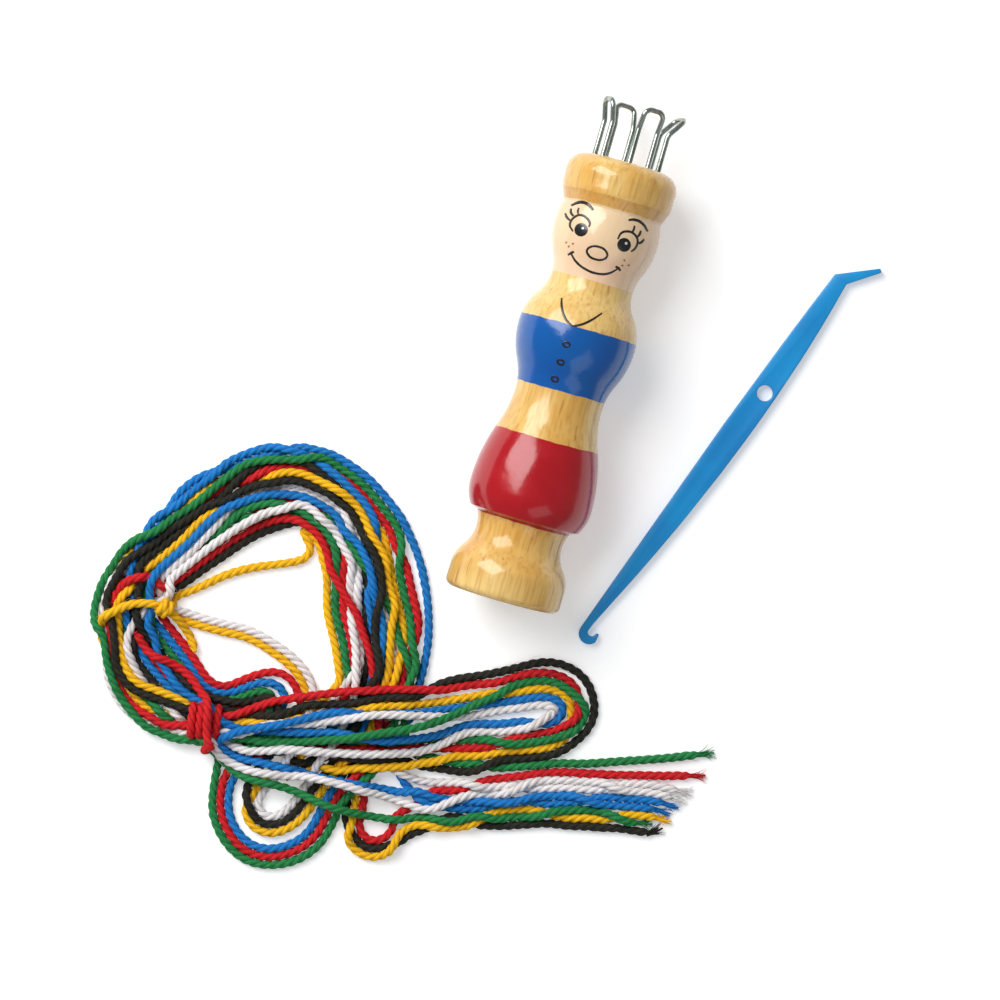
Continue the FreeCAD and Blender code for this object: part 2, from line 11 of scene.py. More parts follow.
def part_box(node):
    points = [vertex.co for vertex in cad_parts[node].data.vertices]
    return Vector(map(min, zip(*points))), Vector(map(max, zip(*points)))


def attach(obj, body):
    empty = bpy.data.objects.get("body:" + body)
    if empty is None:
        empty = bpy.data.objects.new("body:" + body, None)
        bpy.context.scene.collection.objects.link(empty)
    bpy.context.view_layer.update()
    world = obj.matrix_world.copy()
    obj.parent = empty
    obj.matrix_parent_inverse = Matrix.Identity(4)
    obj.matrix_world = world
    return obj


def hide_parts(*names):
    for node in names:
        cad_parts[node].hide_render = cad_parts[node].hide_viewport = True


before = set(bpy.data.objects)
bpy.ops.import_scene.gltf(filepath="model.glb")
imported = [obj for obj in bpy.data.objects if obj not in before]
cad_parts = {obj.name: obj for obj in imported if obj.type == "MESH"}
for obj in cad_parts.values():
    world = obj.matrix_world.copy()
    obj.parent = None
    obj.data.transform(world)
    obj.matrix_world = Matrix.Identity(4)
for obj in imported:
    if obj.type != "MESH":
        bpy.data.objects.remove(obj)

# A knitting doll, its stitch tool and a tied hank of yarn lie on a pale table and are seen from above.
# Sizes are in millimetres from the middle of the doll's foot face, as the maker measures them, and are
# turned into metres in the row frame where a mesh is made.

LOG = logging.getLogger("knitting_doll_set")
MM = 0.001
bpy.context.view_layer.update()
WHITE = (1.0, 1.0, 1.0, 1.0)
FULL_TURN = 2 * math.pi


class Body(Enum):
    """The three things that can be picked up."""

    DOLL = "doll"
    TOOL = "tool"
    YARN = "yarn"


class Dye(Enum):
    """The colours of the yarn, in the order in which they lie in the wound ribbon."""

    YELLOW = "yellow"
    BLACK = "black"
    RED = "red"
    WHITE = "white"
    BLUE = "blue"
    GREEN = "green"

    @property
    def letter(self) -> str:
        """The colour's letter in the ribbon's orders."""
        return "k" if self is Dye.BLACK else self.value[0]


def srgb(red: int, green: int, blue: int) -> tuple[float, float, float, float]:
    """A linear colour from its three screen values.

    Args:
        red: The red value, from 0 to 255.
        green: The green value, from 0 to 255.
        blue: The blue value, from 0 to 255.

    Returns:
        The linear colour with full alpha.
    """
    def linear(value: int) -> float:
        """One screen value as light."""
        share = value / 255
        return share / 12.92 if share <= 0.04045 else ((share + 0.055) / 1.055) ** 2.4

    return linear(red), linear(green), linear(blue), 1.0


def doll_foot() -> Vector:
    """The middle of the doll's foot face on the table, in millimetres in the row frame."""
    low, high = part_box("doll_body")
    return Vector(((low.x + high.x) / 2, low.y, 0.0)) / MM


FOOT = doll_foot()


def in_frame(points: np.ndarray) -> np.ndarray:
    """Places measured from the doll's foot, in metres in the row frame.

    Args:
        points: Rows of x, y and z in millimetres.

    Returns:
        The same rows in metres.
    """
    return (np.asarray(points, float) + np.array([FOOT.x, FOOT.y, 0.0])) * MM


def leave_edit_mode() -> None:
    """Goes back to object mode with nothing selected."""
    if bpy.context.object and bpy.context.object.mode != "OBJECT":
        bpy.ops.object.mode_set(mode="OBJECT")
    bpy.ops.object.select_all(action="DESELECT")


def take(obj: bpy.types.Object) -> None:
    """Selects one object alone and makes it the active one."""
    leave_edit_mode()
    obj.select_set(True)
    bpy.context.view_layer.objects.active = obj


def settle_transform(obj: bpy.types.Object) -> None:
    """Puts an object's place, turn and scale into its mesh."""
    take(obj)
    bpy.ops.object.transform_apply(location=True, rotation=True, scale=True)


def dress(obj: bpy.types.Object, material: bpy.types.Material) -> None:
    """Gives an object its one material."""
    if obj.material_slots:
        for held in obj.material_slots:
            held.material = material
    else:
        obj.data.materials.append(material)


def placed(name: str, mesh: bpy.types.Mesh) -> bpy.types.Object:
    """A new object in the scene that holds a mesh."""
    made = bpy.data.objects.new(name, mesh)
    bpy.context.scene.collection.objects.link(made)
    return made


def mesh_of(curve: bpy.types.Curve) -> bpy.types.Mesh:
    """The mesh that a curve makes, read once it is in the scene."""
    holder = placed(curve.name, curve)
    bpy.context.view_layer.update()
    mesh = bpy.data.meshes.new_from_object(holder)
    bpy.data.objects.remove(holder)
    return mesh


def finish_piece(obj: bpy.types.Object, body: Body, slot: str, *nodes: str) -> None:
    """Hangs a finished piece on its body, hides the CAD nodes that it replaces and logs its name, body and
    faces.

    Args:
        obj: The finished piece.
        body: What it moves with.
        slot: The record's material slot. Not used.
        nodes: The CAD nodes that it replaces.
    """
    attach(obj, body.value)
    if nodes:
        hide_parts(*nodes)
    LOG.info("%s rides on %s with %d faces", obj.name, body.value, len(obj.data.polygons))


class Graph:
    """A node tree that is being laid out."""

    def __init__(self, tree: bpy.types.NodeTree) -> None:
        """Takes the tree to be filled."""
        self.tree = tree

    def add(self, kind: str, values: dict | None = None, **settings: object) -> bpy.types.Node:
        """Adds a node.

        Args:
            kind: The node's type.
            values: Socket names or numbers, each with a value or with the socket to join to it.
            settings: The node's own settings.

        Returns:
            The node.
        """
        node = self.tree.nodes.new(kind)
        for name, value in settings.items():
            setattr(node, name, value)
        self.feed(node, values or {})
        return node

    def feed(self, node: bpy.types.Node, values: dict) -> None:
        """Fills a node's inputs.

        Args:
            node: The node.
            values: Socket names or numbers, each with a value or with the socket to join to it.
        """
        for name, value in values.items():
            if isinstance(value, bpy.types.NodeSocket):
                self.tree.links.new(value, node.inputs[name])
            else:
                node.inputs[name].default_value = value

    def maths(self, operation: str, *values: object) -> bpy.types.NodeSocket:
        """One sum of up to three numbers or sockets."""
        return self.add("ShaderNodeMath", dict(enumerate(values)), operation=operation).outputs[0]

    def mix(self, share: object, first: object, second: object, blend: str = "MIX") -> bpy.types.NodeSocket:
        """Mixes two colours.

        Args:
            share: How much of the second one shows.
            first: The first colour.
            second: The second colour.
            blend: How they are mixed.

        Returns:
            The mixed colour.
        """
        return self.add("ShaderNodeMix", {0: share, 6: first, 7: second}, data_type="RGBA",
                        blend_type=blend, clamp_result=True).outputs[2]

    def spread(self, value: object, low: float, high: float) -> bpy.types.NodeSocket:
        """A number that goes from nothing to one between two values, smoothly."""
        return self.add("ShaderNodeMapRange", {"Value": value, "From Min": low, "From Max": high},
                        interpolation_type="SMOOTHSTEP").outputs[0]

    def noise(self, place: object, scale: float, detail: float = 3.0,
              rough: float = 0.5) -> bpy.types.NodeSocket:
        """Soft noise at a scale per metre, or per unit of the place that it is given."""
        return self.add("ShaderNodeTexNoise", {"Vector": place, "Scale": scale, "Detail": detail,
                                               "Roughness": rough}).outputs[0]

    def bump(self, height: object, strength: float, distance: float) -> bpy.types.NodeSocket:
        """The normal of a surface that stands up by a height, in metres at full strength."""
        return self.add("ShaderNodeBump", {"Strength": strength, "Distance": distance,
                                           "Height": height}).outputs[0]

    def place(self) -> bpy.types.NodeSocket:
        """The place on the object, in metres."""
        return self.add("ShaderNodeTexCoord").outputs["Object"]

    def stretched(self, place: object, scale: tuple[float, float, float]) -> bpy.types.NodeSocket:
        """A place with each of its axes scaled by itself."""
        return self.add("ShaderNodeMapping", {"Vector": place, "Scale": scale}).outputs[0]


def new_material(name: str) -> tuple[bpy.types.Material, Graph, bpy.types.Node]:
    """A new material with its graph and its main shader."""
    made = bpy.data.materials.new(name)
    made.use_nodes = True
    return made, Graph(made.node_tree), made.node_tree.nodes["Principled BSDF"]


def new_group(name: str, inputs: dict[str, object], colours: tuple[str, ...],
              numbers: tuple[str, ...]) -> tuple[Graph, dict, bpy.types.Node]:
    """A shared effect with named sockets.

    Args:
        name: The group's name.
        inputs: Each input's value: a number or a colour.
        colours: The outputs that are colours.
        numbers: The outputs that are numbers.

    Returns:
        The group's graph, its inputs' sockets by name and the node that takes its outputs.
    """
    tree = bpy.data.node_groups.new(name, "ShaderNodeTree")
    for label, value in inputs.items():
        kind = "NodeSocketColor" if isinstance(value, tuple) else "NodeSocketFloat"
        tree.interface.new_socket(name=label, in_out="INPUT", socket_type=kind).default_value = value
    for labels, kind in ((colours, "NodeSocketColor"), (numbers, "NodeSocketFloat")):
        for label in labels:
            tree.interface.new_socket(name=label, in_out="OUTPUT", socket_type=kind)
    start, end = tree.nodes.new("NodeGroupInput"), tree.nodes.new("NodeGroupOutput")
    return Graph(tree), {socket.name: socket for socket in start.outputs}, end


class Effects:
    """The shared effects, each built once."""

    def __init__(self) -> None:
        """Builds all the groups."""
        self.band = self.paint_band()
        self.wood = self.turned_wood()
        self.gloss = self.brushed_varnish()
        self.fibre = self.spun_fibre()

    @staticmethod
    def paint_band() -> bpy.types.NodeTree:
        """A band of paint round the doll, with the slightly wavy edges that a brush leaves."""
        graph, taken, end = new_group("paint_band", {"Low": 0.0, "High": 1.0, "Waver": 0.0004}, (), ("Mask",))
        place = graph.place()
        along = graph.add("ShaderNodeSeparateXYZ", {0: place}).outputs["Y"]
        slow = graph.maths("SUBTRACT", graph.noise(graph.stretched(place, (1.0, 0.15, 1.0)), 260.0), 0.5)
        moved = graph.maths("MULTIPLY_ADD", slow, taken["Waver"], along)
        fade = 0.00012
        rise = graph.maths("DIVIDE", graph.maths("SUBTRACT", moved, taken["Low"]), fade)
        fall = graph.maths("DIVIDE", graph.maths("SUBTRACT", taken["High"], moved), fade)
        both = graph.maths("MINIMUM", rise, fall)
        graph.feed(end, {"Mask": graph.add("ShaderNodeClamp", {0: both}).outputs[0]})
        return graph.tree

    @staticmethod
    def turned_wood() -> bpy.types.NodeTree:
        """Pale close-grained wood with short dark flecks, its grain along the doll."""
        graph, taken, end = new_group("turned_wood", {"Pale": WHITE, "Warm": WHITE, "Fleck": WHITE},
                                      ("Colour",), ("Grain",))
        place = graph.place()
        broad = graph.noise(graph.stretched(place, (1.0, 0.30, 1.0)), 95.0, 4.0, 0.6)
        cloud = graph.noise(place, 42.0, 2.0)
        fine = graph.noise(graph.stretched(place, (1.0, 0.055, 1.0)), 1500.0, 3.0, 0.6)
        dashes = graph.noise(graph.stretched(place, (1.0, 0.10, 1.0)), 900.0, 2.0, 0.5)
        warm = graph.spread(graph.maths("ADD", graph.maths("MULTIPLY", broad, 0.62),
                                        graph.maths("MULTIPLY", cloud, 0.38)), 0.36, 0.66)
        base = graph.mix(warm, taken["Pale"], taken["Warm"])
        streaks = graph.maths("MULTIPLY", graph.spread(fine, 0.42, 0.70), 0.34)
        flecks = graph.maths("MULTIPLY", graph.spread(dashes, 0.63, 0.74), 0.55)
        streaked = graph.mix(streaks, base, taken["Fleck"])
        graph.feed(end, {"Colour": graph.mix(flecks, streaked, taken["Fleck"]),
                         "Grain": graph.maths("SUBTRACT", fine, graph.maths("MULTIPLY", dashes, 0.4))})
        return graph.tree

    @staticmethod
    def brushed_varnish() -> bpy.types.NodeTree:
        """The small hollows and runs of varnish that was brushed on a turning piece."""
        graph, taken, end = new_group("brushed_varnish", {"Depth": 1.0}, (), ("Height",))
        place = graph.place()
        runs = graph.noise(graph.stretched(place, (0.55, 1.0, 0.55)), 330.0, 2.0)
        pits = graph.noise(place, 1300.0, 2.0)
        height = graph.maths("MULTIPLY_ADD", pits, 0.22, runs)
        graph.feed(end, {"Height": graph.maths("MULTIPLY", height, taken["Depth"])})
        return graph.tree

    @staticmethod
    def spun_fibre() -> bpy.types.NodeTree:
        """Spun fibres that run along each ply, with painted shade where two plies meet and a painted
        highlight on lighter fibres.
        """
        graph, taken, end = new_group("spun_fibre", {"Dye": WHITE, "Shade": WHITE, "Fibre Highlight": WHITE},
                                      ("Colour",), ("Height",))
        laid = graph.add("ShaderNodeUVMap", uv_map="ply").outputs[0]
        across, along, _ = graph.add("ShaderNodeSeparateXYZ", {0: laid}).outputs
        leaning = graph.maths("MULTIPLY_ADD", along, 0.35, across)
        drawn = graph.maths("MULTIPLY", along, 0.55)
        sheared = graph.add("ShaderNodeCombineXYZ", {0: leaning, 1: drawn}).outputs[0]
        fibres = graph.noise(sheared, 7.0, 3.0, 0.65)
        slubs = graph.noise(graph.stretched(laid, (0.2, 0.10, 1.0)), 1.6, 2.0)
        crown = graph.maths("ABSOLUTE", graph.maths("SINE", graph.maths("MULTIPLY", across, math.pi)))
        # painted shade: the shade colour is laid into the grooves between the plies
        painted_groove_shade = graph.spread(crown, 0.05, 0.62)
        # painted highlight: the lighter highlight colour is laid along streaks of fibre
        lit = graph.mix(graph.spread(fibres, 0.30, 0.72), taken["Dye"], taken["Fibre Highlight"])
        slub = graph.maths("MULTIPLY", graph.spread(slubs, 0.50, 0.75), 0.30)
        slubbed = graph.mix(slub, lit, taken["Shade"])
        groove_shaded = graph.mix(painted_groove_shade, graph.mix(0.55, slubbed, taken["Shade"]), slubbed)
        graph.feed(end, {"Colour": groove_shaded, "Height": graph.maths("MULTIPLY_ADD", crown, 0.5, fibres)})
        return graph.tree


EFFECTS = Effects()


@dataclass(frozen=True)
class YarnFinish:
    """Soft spun yarn in one dye, with painted shade in its grooves and a painted highlight on its fibre tips.
    """

    name: str
    dye: tuple[int, int, int]
    shade: tuple[int, int, int]
    fibre_highlight: tuple[int, int, int]
    sheen: float = 0.22

    def material(self) -> bpy.types.Material:
        """The yarn's material."""
        made, graph, shader = new_material(self.name)
        fibre = graph.add("ShaderNodeGroup", {
            "Dye": srgb(*self.dye), "Shade": srgb(*self.shade), "Fibre Highlight": srgb(*self.fibre_highlight)},
            node_tree=EFFECTS.fibre)
        graph.feed(shader, {
            "Base Color": fibre.outputs["Colour"],
            "Normal": graph.bump(fibre.outputs["Height"], 0.5, 0.00012), "Roughness": 0.78,
            "Specular IOR Level": 0.25, "Sheen Weight": self.sheen,
            "Sheen Roughness": 0.45, "Sheen Tint": srgb(*self.fibre_highlight)})
        return made


@dataclass(frozen=True)
class DollFinish:
    """Varnished wood with a red skirt, a blue bodice, a face coat and painted shade under the cap's lip, by
    height above the foot.
    """

    pale: tuple[int, int, int] = (242, 206, 130)
    warm: tuple[int, int, int] = (222, 164, 70)
    fleck: tuple[int, int, int] = (168, 108, 42)
    red: tuple[int, int, int] = (172, 8, 22)
    red_thin: tuple[int, int, int] = (180, 14, 26)
    blue: tuple[int, int, int] = (0, 88, 164)
    blue_thin: tuple[int, int, int] = (2, 84, 166)
    skin: tuple[int, int, int] = (240, 212, 174)
    skin_rose: tuple[int, int, int] = (244, 204, 176)
    cap_lip_shade: tuple[int, int, int] = (196, 126, 48)
    red_band: tuple[float, float] = (17.6, 37.0)
    blue_band: tuple[float, float] = (48.0, 62.7)
    skin_band: tuple[float, float] = (73.3, 89.8)
    cap_lip_shade_band: tuple[float, float] = (89.8, 92.3)

    def material(self) -> bpy.types.Material:
        """The doll's material."""
        made, graph, shader = new_material("varnished_wood")
        wood = graph.add("ShaderNodeGroup", {
            "Pale": srgb(*self.pale), "Warm": srgb(*self.warm), "Fleck": srgb(*self.fleck)},
            node_tree=EFFECTS.wood)
        place = graph.place()
        blush = graph.spread(graph.noise(place, 55.0, 2.0), 0.40, 0.68)
        coat = graph.mix(blush, srgb(*self.skin), srgb(*self.skin_rose))
        grainy_coat = graph.mix(0.14, coat, wood.outputs["Colour"])
        mottle = graph.spread(graph.noise(place, 160.0, 3.0), 0.35, 0.75)
        # painted shade: a darker brown band mixed into the wood in the step under the cap's lip
        bands = ((self.cap_lip_shade_band, graph.mix(0.62, srgb(*self.cap_lip_shade), wood.outputs["Colour"]), 0.0016),
                 (self.skin_band, grainy_coat, 0.0005),
                 (self.blue_band, graph.mix(mottle, srgb(*self.blue), srgb(*self.blue_thin)), 0.0008),
                 (self.red_band, graph.mix(mottle, srgb(*self.red), srgb(*self.red_thin)), 0.0009))
        colour = wood.outputs["Colour"]
        for (low, high), paint, waver in bands:
            mask = graph.add("ShaderNodeGroup", {
                "Low": (low + FOOT.y) * MM, "High": (high + FOOT.y) * MM, "Waver": waver},
                node_tree=EFFECTS.band)
            colour = graph.mix(mask.outputs["Mask"], colour, paint)
        gloss = graph.add("ShaderNodeGroup", node_tree=EFFECTS.gloss)
        height = graph.maths("MULTIPLY_ADD", wood.outputs["Grain"], 0.18, gloss.outputs["Height"])
        graph.feed(shader, {
            "Base Color": colour, "Normal": graph.bump(height, 0.35, 0.00028),
            "Roughness": graph.maths("MULTIPLY_ADD", mottle, 0.10, 0.15), "Specular IOR Level": 0.42,
            "Coat Weight": 0.30, "Coat Roughness": 0.09})
        return made


@dataclass(frozen=True)
class InkFinish:
    """Printed lines, a little uneven in their black."""

    name: str = "printed_line"
    dark: tuple[int, int, int] = (24, 16, 12)
    worn: tuple[int, int, int] = (58, 38, 26)

    def material(self) -> bpy.types.Material:
        """The ink's material."""
        made, graph, shader = new_material(self.name)
        place = graph.place()
        wear = graph.spread(graph.noise(place, 900.0, 2.0), 0.45, 0.75)
        graph.feed(shader, {
            "Base Color": graph.mix(wear, srgb(*self.dark), srgb(*self.worn)), "Roughness": 0.28,
            "Coat Weight": 0.4})
        return made


@dataclass(frozen=True)
class SteelFinish:
    """Bright drawn wire with fine lines along it and a slight haze."""

    name: str = "loop_steel"
    bright: tuple[int, int, int] = (186, 192, 184)
    dull: tuple[int, int, int] = (104, 114, 104)

    def material(self) -> bpy.types.Material:
        """The wire's material."""
        made, graph, shader = new_material(self.name)
        place = graph.place()
        haze = graph.spread(graph.noise(graph.stretched(place, (1.0, 0.25, 1.0)), 620.0, 4.0), 0.35, 0.75)
        drawn = graph.noise(graph.stretched(place, (1.0, 0.03, 1.0)), 5200.0, 2.0)
        graph.feed(shader, {
            "Base Color": graph.mix(haze, srgb(*self.bright), srgb(*self.dull)), "Metallic": 1.0,
            "Roughness": graph.maths("MULTIPLY_ADD", haze, 0.22, 0.13),
            "Normal": graph.bump(drawn, 0.25, 0.00003)})
        return made


@dataclass(frozen=True)
class PlasticFinish:
    """Moulded blue plastic with the faint flow and sparkle of its surface."""

    name: str = "tool_plastic"
    blue: tuple[int, int, int] = (20, 152, 218)
    deep: tuple[int, int, int] = (12, 134, 204)

    def material(self) -> bpy.types.Material:
        """The tool's material."""
        made, graph, shader = new_material(self.name)
        place = graph.place()
        flow = graph.spread(graph.noise(place, 70.0, 3.0), 0.30, 0.70)
        grit = graph.noise(place, 4200.0, 2.0)
        graph.feed(shader, {
            "Base Color": graph.mix(flow, srgb(*self.blue), srgb(*self.deep)),
            "Roughness": graph.maths("MULTIPLY_ADD", flow, 0.10, 0.30),
            "Normal": graph.bump(grit, 0.22, 0.00004),
            "Subsurface Weight": 0.05, "Subsurface Radius": (0.001, 0.001, 0.001)})
        return made


# Each yarn's dye, then a darker copy for painted shade and a lighter copy for painted highlight, and its
# sheen.
YARN_FINISHES = {
    Dye.YELLOW: YarnFinish("yellow_yarn", (244, 176, 6), (176, 98, 2), (254, 206, 40)),
    Dye.BLACK: YarnFinish("black_yarn", (22, 22, 18), (6, 6, 6), (54, 52, 42), 0.10),
    Dye.RED: YarnFinish("red_yarn", (200, 12, 24), (112, 4, 14), (226, 42, 46)),
    Dye.WHITE: YarnFinish("white_yarn", (232, 226, 224), (160, 146, 142), (250, 246, 246)),
    Dye.BLUE: YarnFinish("blue_yarn", (4, 104, 186), (0, 50, 112), (42, 142, 214)),
    Dye.GREEN: YarnFinish("green_yarn", (14, 112, 52), (4, 52, 22), (52, 150, 86)),
}


@dataclass
class Studio:
    """The camera straight above, a large softbox at the left, a plain floor."""

    eye: tuple[float, float, float] = (-0.02455, -0.00750, 0.965)
    aim: tuple[float, float, float] = (-0.03037, -0.03380, 0.0)
    image_up: tuple[float, float, float] = (-0.2756, 0.9613, 0.0)
    lens: float = 154.0
    floor_size: float = 4.0
    softbox_power: float = 10.5
    fill_power: float = 1.3

    def camera(self) -> bpy.types.Object:
        """The camera at the photograph's place."""
        bpy.ops.object.camera_add(location=self.eye)
        camera = bpy.context.object
        ahead = (Vector(self.aim) - Vector(self.eye)).normalized()
        right = ahead.cross(Vector(self.image_up)).normalized()
        turn = Matrix((right, right.cross(ahead), -ahead)).transposed()
        camera.rotation_euler = turn.to_euler()
        camera.data.lens = self.lens
        camera.data.sensor_width = 36.0
        camera.data.clip_start, camera.data.clip_end = 0.05, 20.0
        bpy.context.scene.camera = camera
        return camera

    def lamp(self, name: str, spot: tuple[float, float, float], size: tuple[float, float],
             power: float) -> None:
        """An area lamp that points at the middle of the table.

        Args:
            name: The lamp's name.
            spot: Where it stands.
            size: Its width and height.
            power: Its power in watts.
        """
        bpy.ops.object.light_add(type="AREA", location=spot)
        lamp = bpy.context.object
        lamp.name = name
        lamp.data.shape = "RECTANGLE"
        lamp.data.size, lamp.data.size_y = size
        lamp.data.energy = power
        lamp.rotation_euler = (Vector(self.aim) - Vector(spot)).to_track_quat("-Z", "Y").to_euler()

    def lights(self) -> None:
        """The softbox, the fill and the even light of a pale room."""
        self.lamp("softbox", (-0.62, 0.34, 0.72), (0.62, 0.85), self.softbox_power)
        self.lamp("fill", (0.50, -0.75, 1.05), (0.9, 0.6), self.fill_power)
        world = bpy.data.worlds.new("pale_room")
        bpy.context.scene.world = world
        world.use_nodes = True
        graph = Graph(world.node_tree)
        room = world.node_tree.nodes["Background"]
        room.inputs["Color"].default_value = (0.93, 0.96, 1.0, 1.0)
        room.inputs["Strength"].default_value = 0.30
        seen = graph.add("ShaderNodeBackground", {"Color": WHITE, "Strength": 1.0})
        ray = graph.add("ShaderNodeLightPath").outputs["Is Camera Ray"]
        mixed = graph.add("ShaderNodeMixShader", {0: ray, 1: room.outputs[0], 2: seen.outputs[0]})
        out = world.node_tree.nodes["World Output"]
        world.node_tree.links.new(mixed.outputs[0], out.inputs["Surface"])

    def floor(self) -> bpy.types.Object:
        """A plain white table that keeps the shadows."""
        bpy.ops.mesh.primitive_plane_add(size=self.floor_size, location=(0.0, 0.0, 0.0))
        table = bpy.context.object
        table.name = "table_top"
        made, graph, shader = new_material("white_table")
        graph.feed(shader, {
            "Base Color": (0.90, 0.90, 0.90, 1.0), "Roughness": 0.9, "Specular IOR Level": 0.0})
        rays = graph.add("ShaderNodeLightPath").outputs
        seen = graph.maths("MAXIMUM", graph.maths("MAXIMUM", rays["Is Camera Ray"], rays["Is Glossy Ray"]),
                           rays["Is Transmission Ray"])
        glow = graph.add("ShaderNodeEmission", {"Color": WHITE,
                                                "Strength": graph.maths("MULTIPLY", seen, 0.34)})
        both = graph.add("ShaderNodeAddShader", {0: shader.outputs[0], 1: glow.outputs[0]})
        out = made.node_tree.nodes["Material Output"]
        made.node_tree.links.new(both.outputs[0], out.inputs["Surface"])
        dress(table, made)
        return table

    def build(self) -> None:
        """Sets up the whole studio."""
        bpy.context.scene.view_settings.view_transform = "Standard"
        self.camera()
        self.lights()
        self.floor()


@dataclass(frozen=True)
class Way:
    """A row of places along the middle of the wound ribbon, with each place's height."""

    places: tuple[tuple[float, float], ...]
    heights: tuple[float, ...]

    def beside(self, slot: float) -> list[tuple[float, float, float]]:
        """The way moved to the left by a strand's distance from the middle.

        Args:
            slot: The distance from the middle.

        Returns:
            Rows of x, y and height.
        """
        rows = []
        for i, (place, height) in enumerate(zip(self.places, self.heights)):
            before, after = self.places[max(i - 1, 0)], self.places[min(i + 1, len(self.places) - 1)]
            way = Vector((after[0] - before[0], after[1] - before[1])).normalized()
            rows.append((place[0] - way.y * slot, place[1] + way.x * slot, height))
        return rows


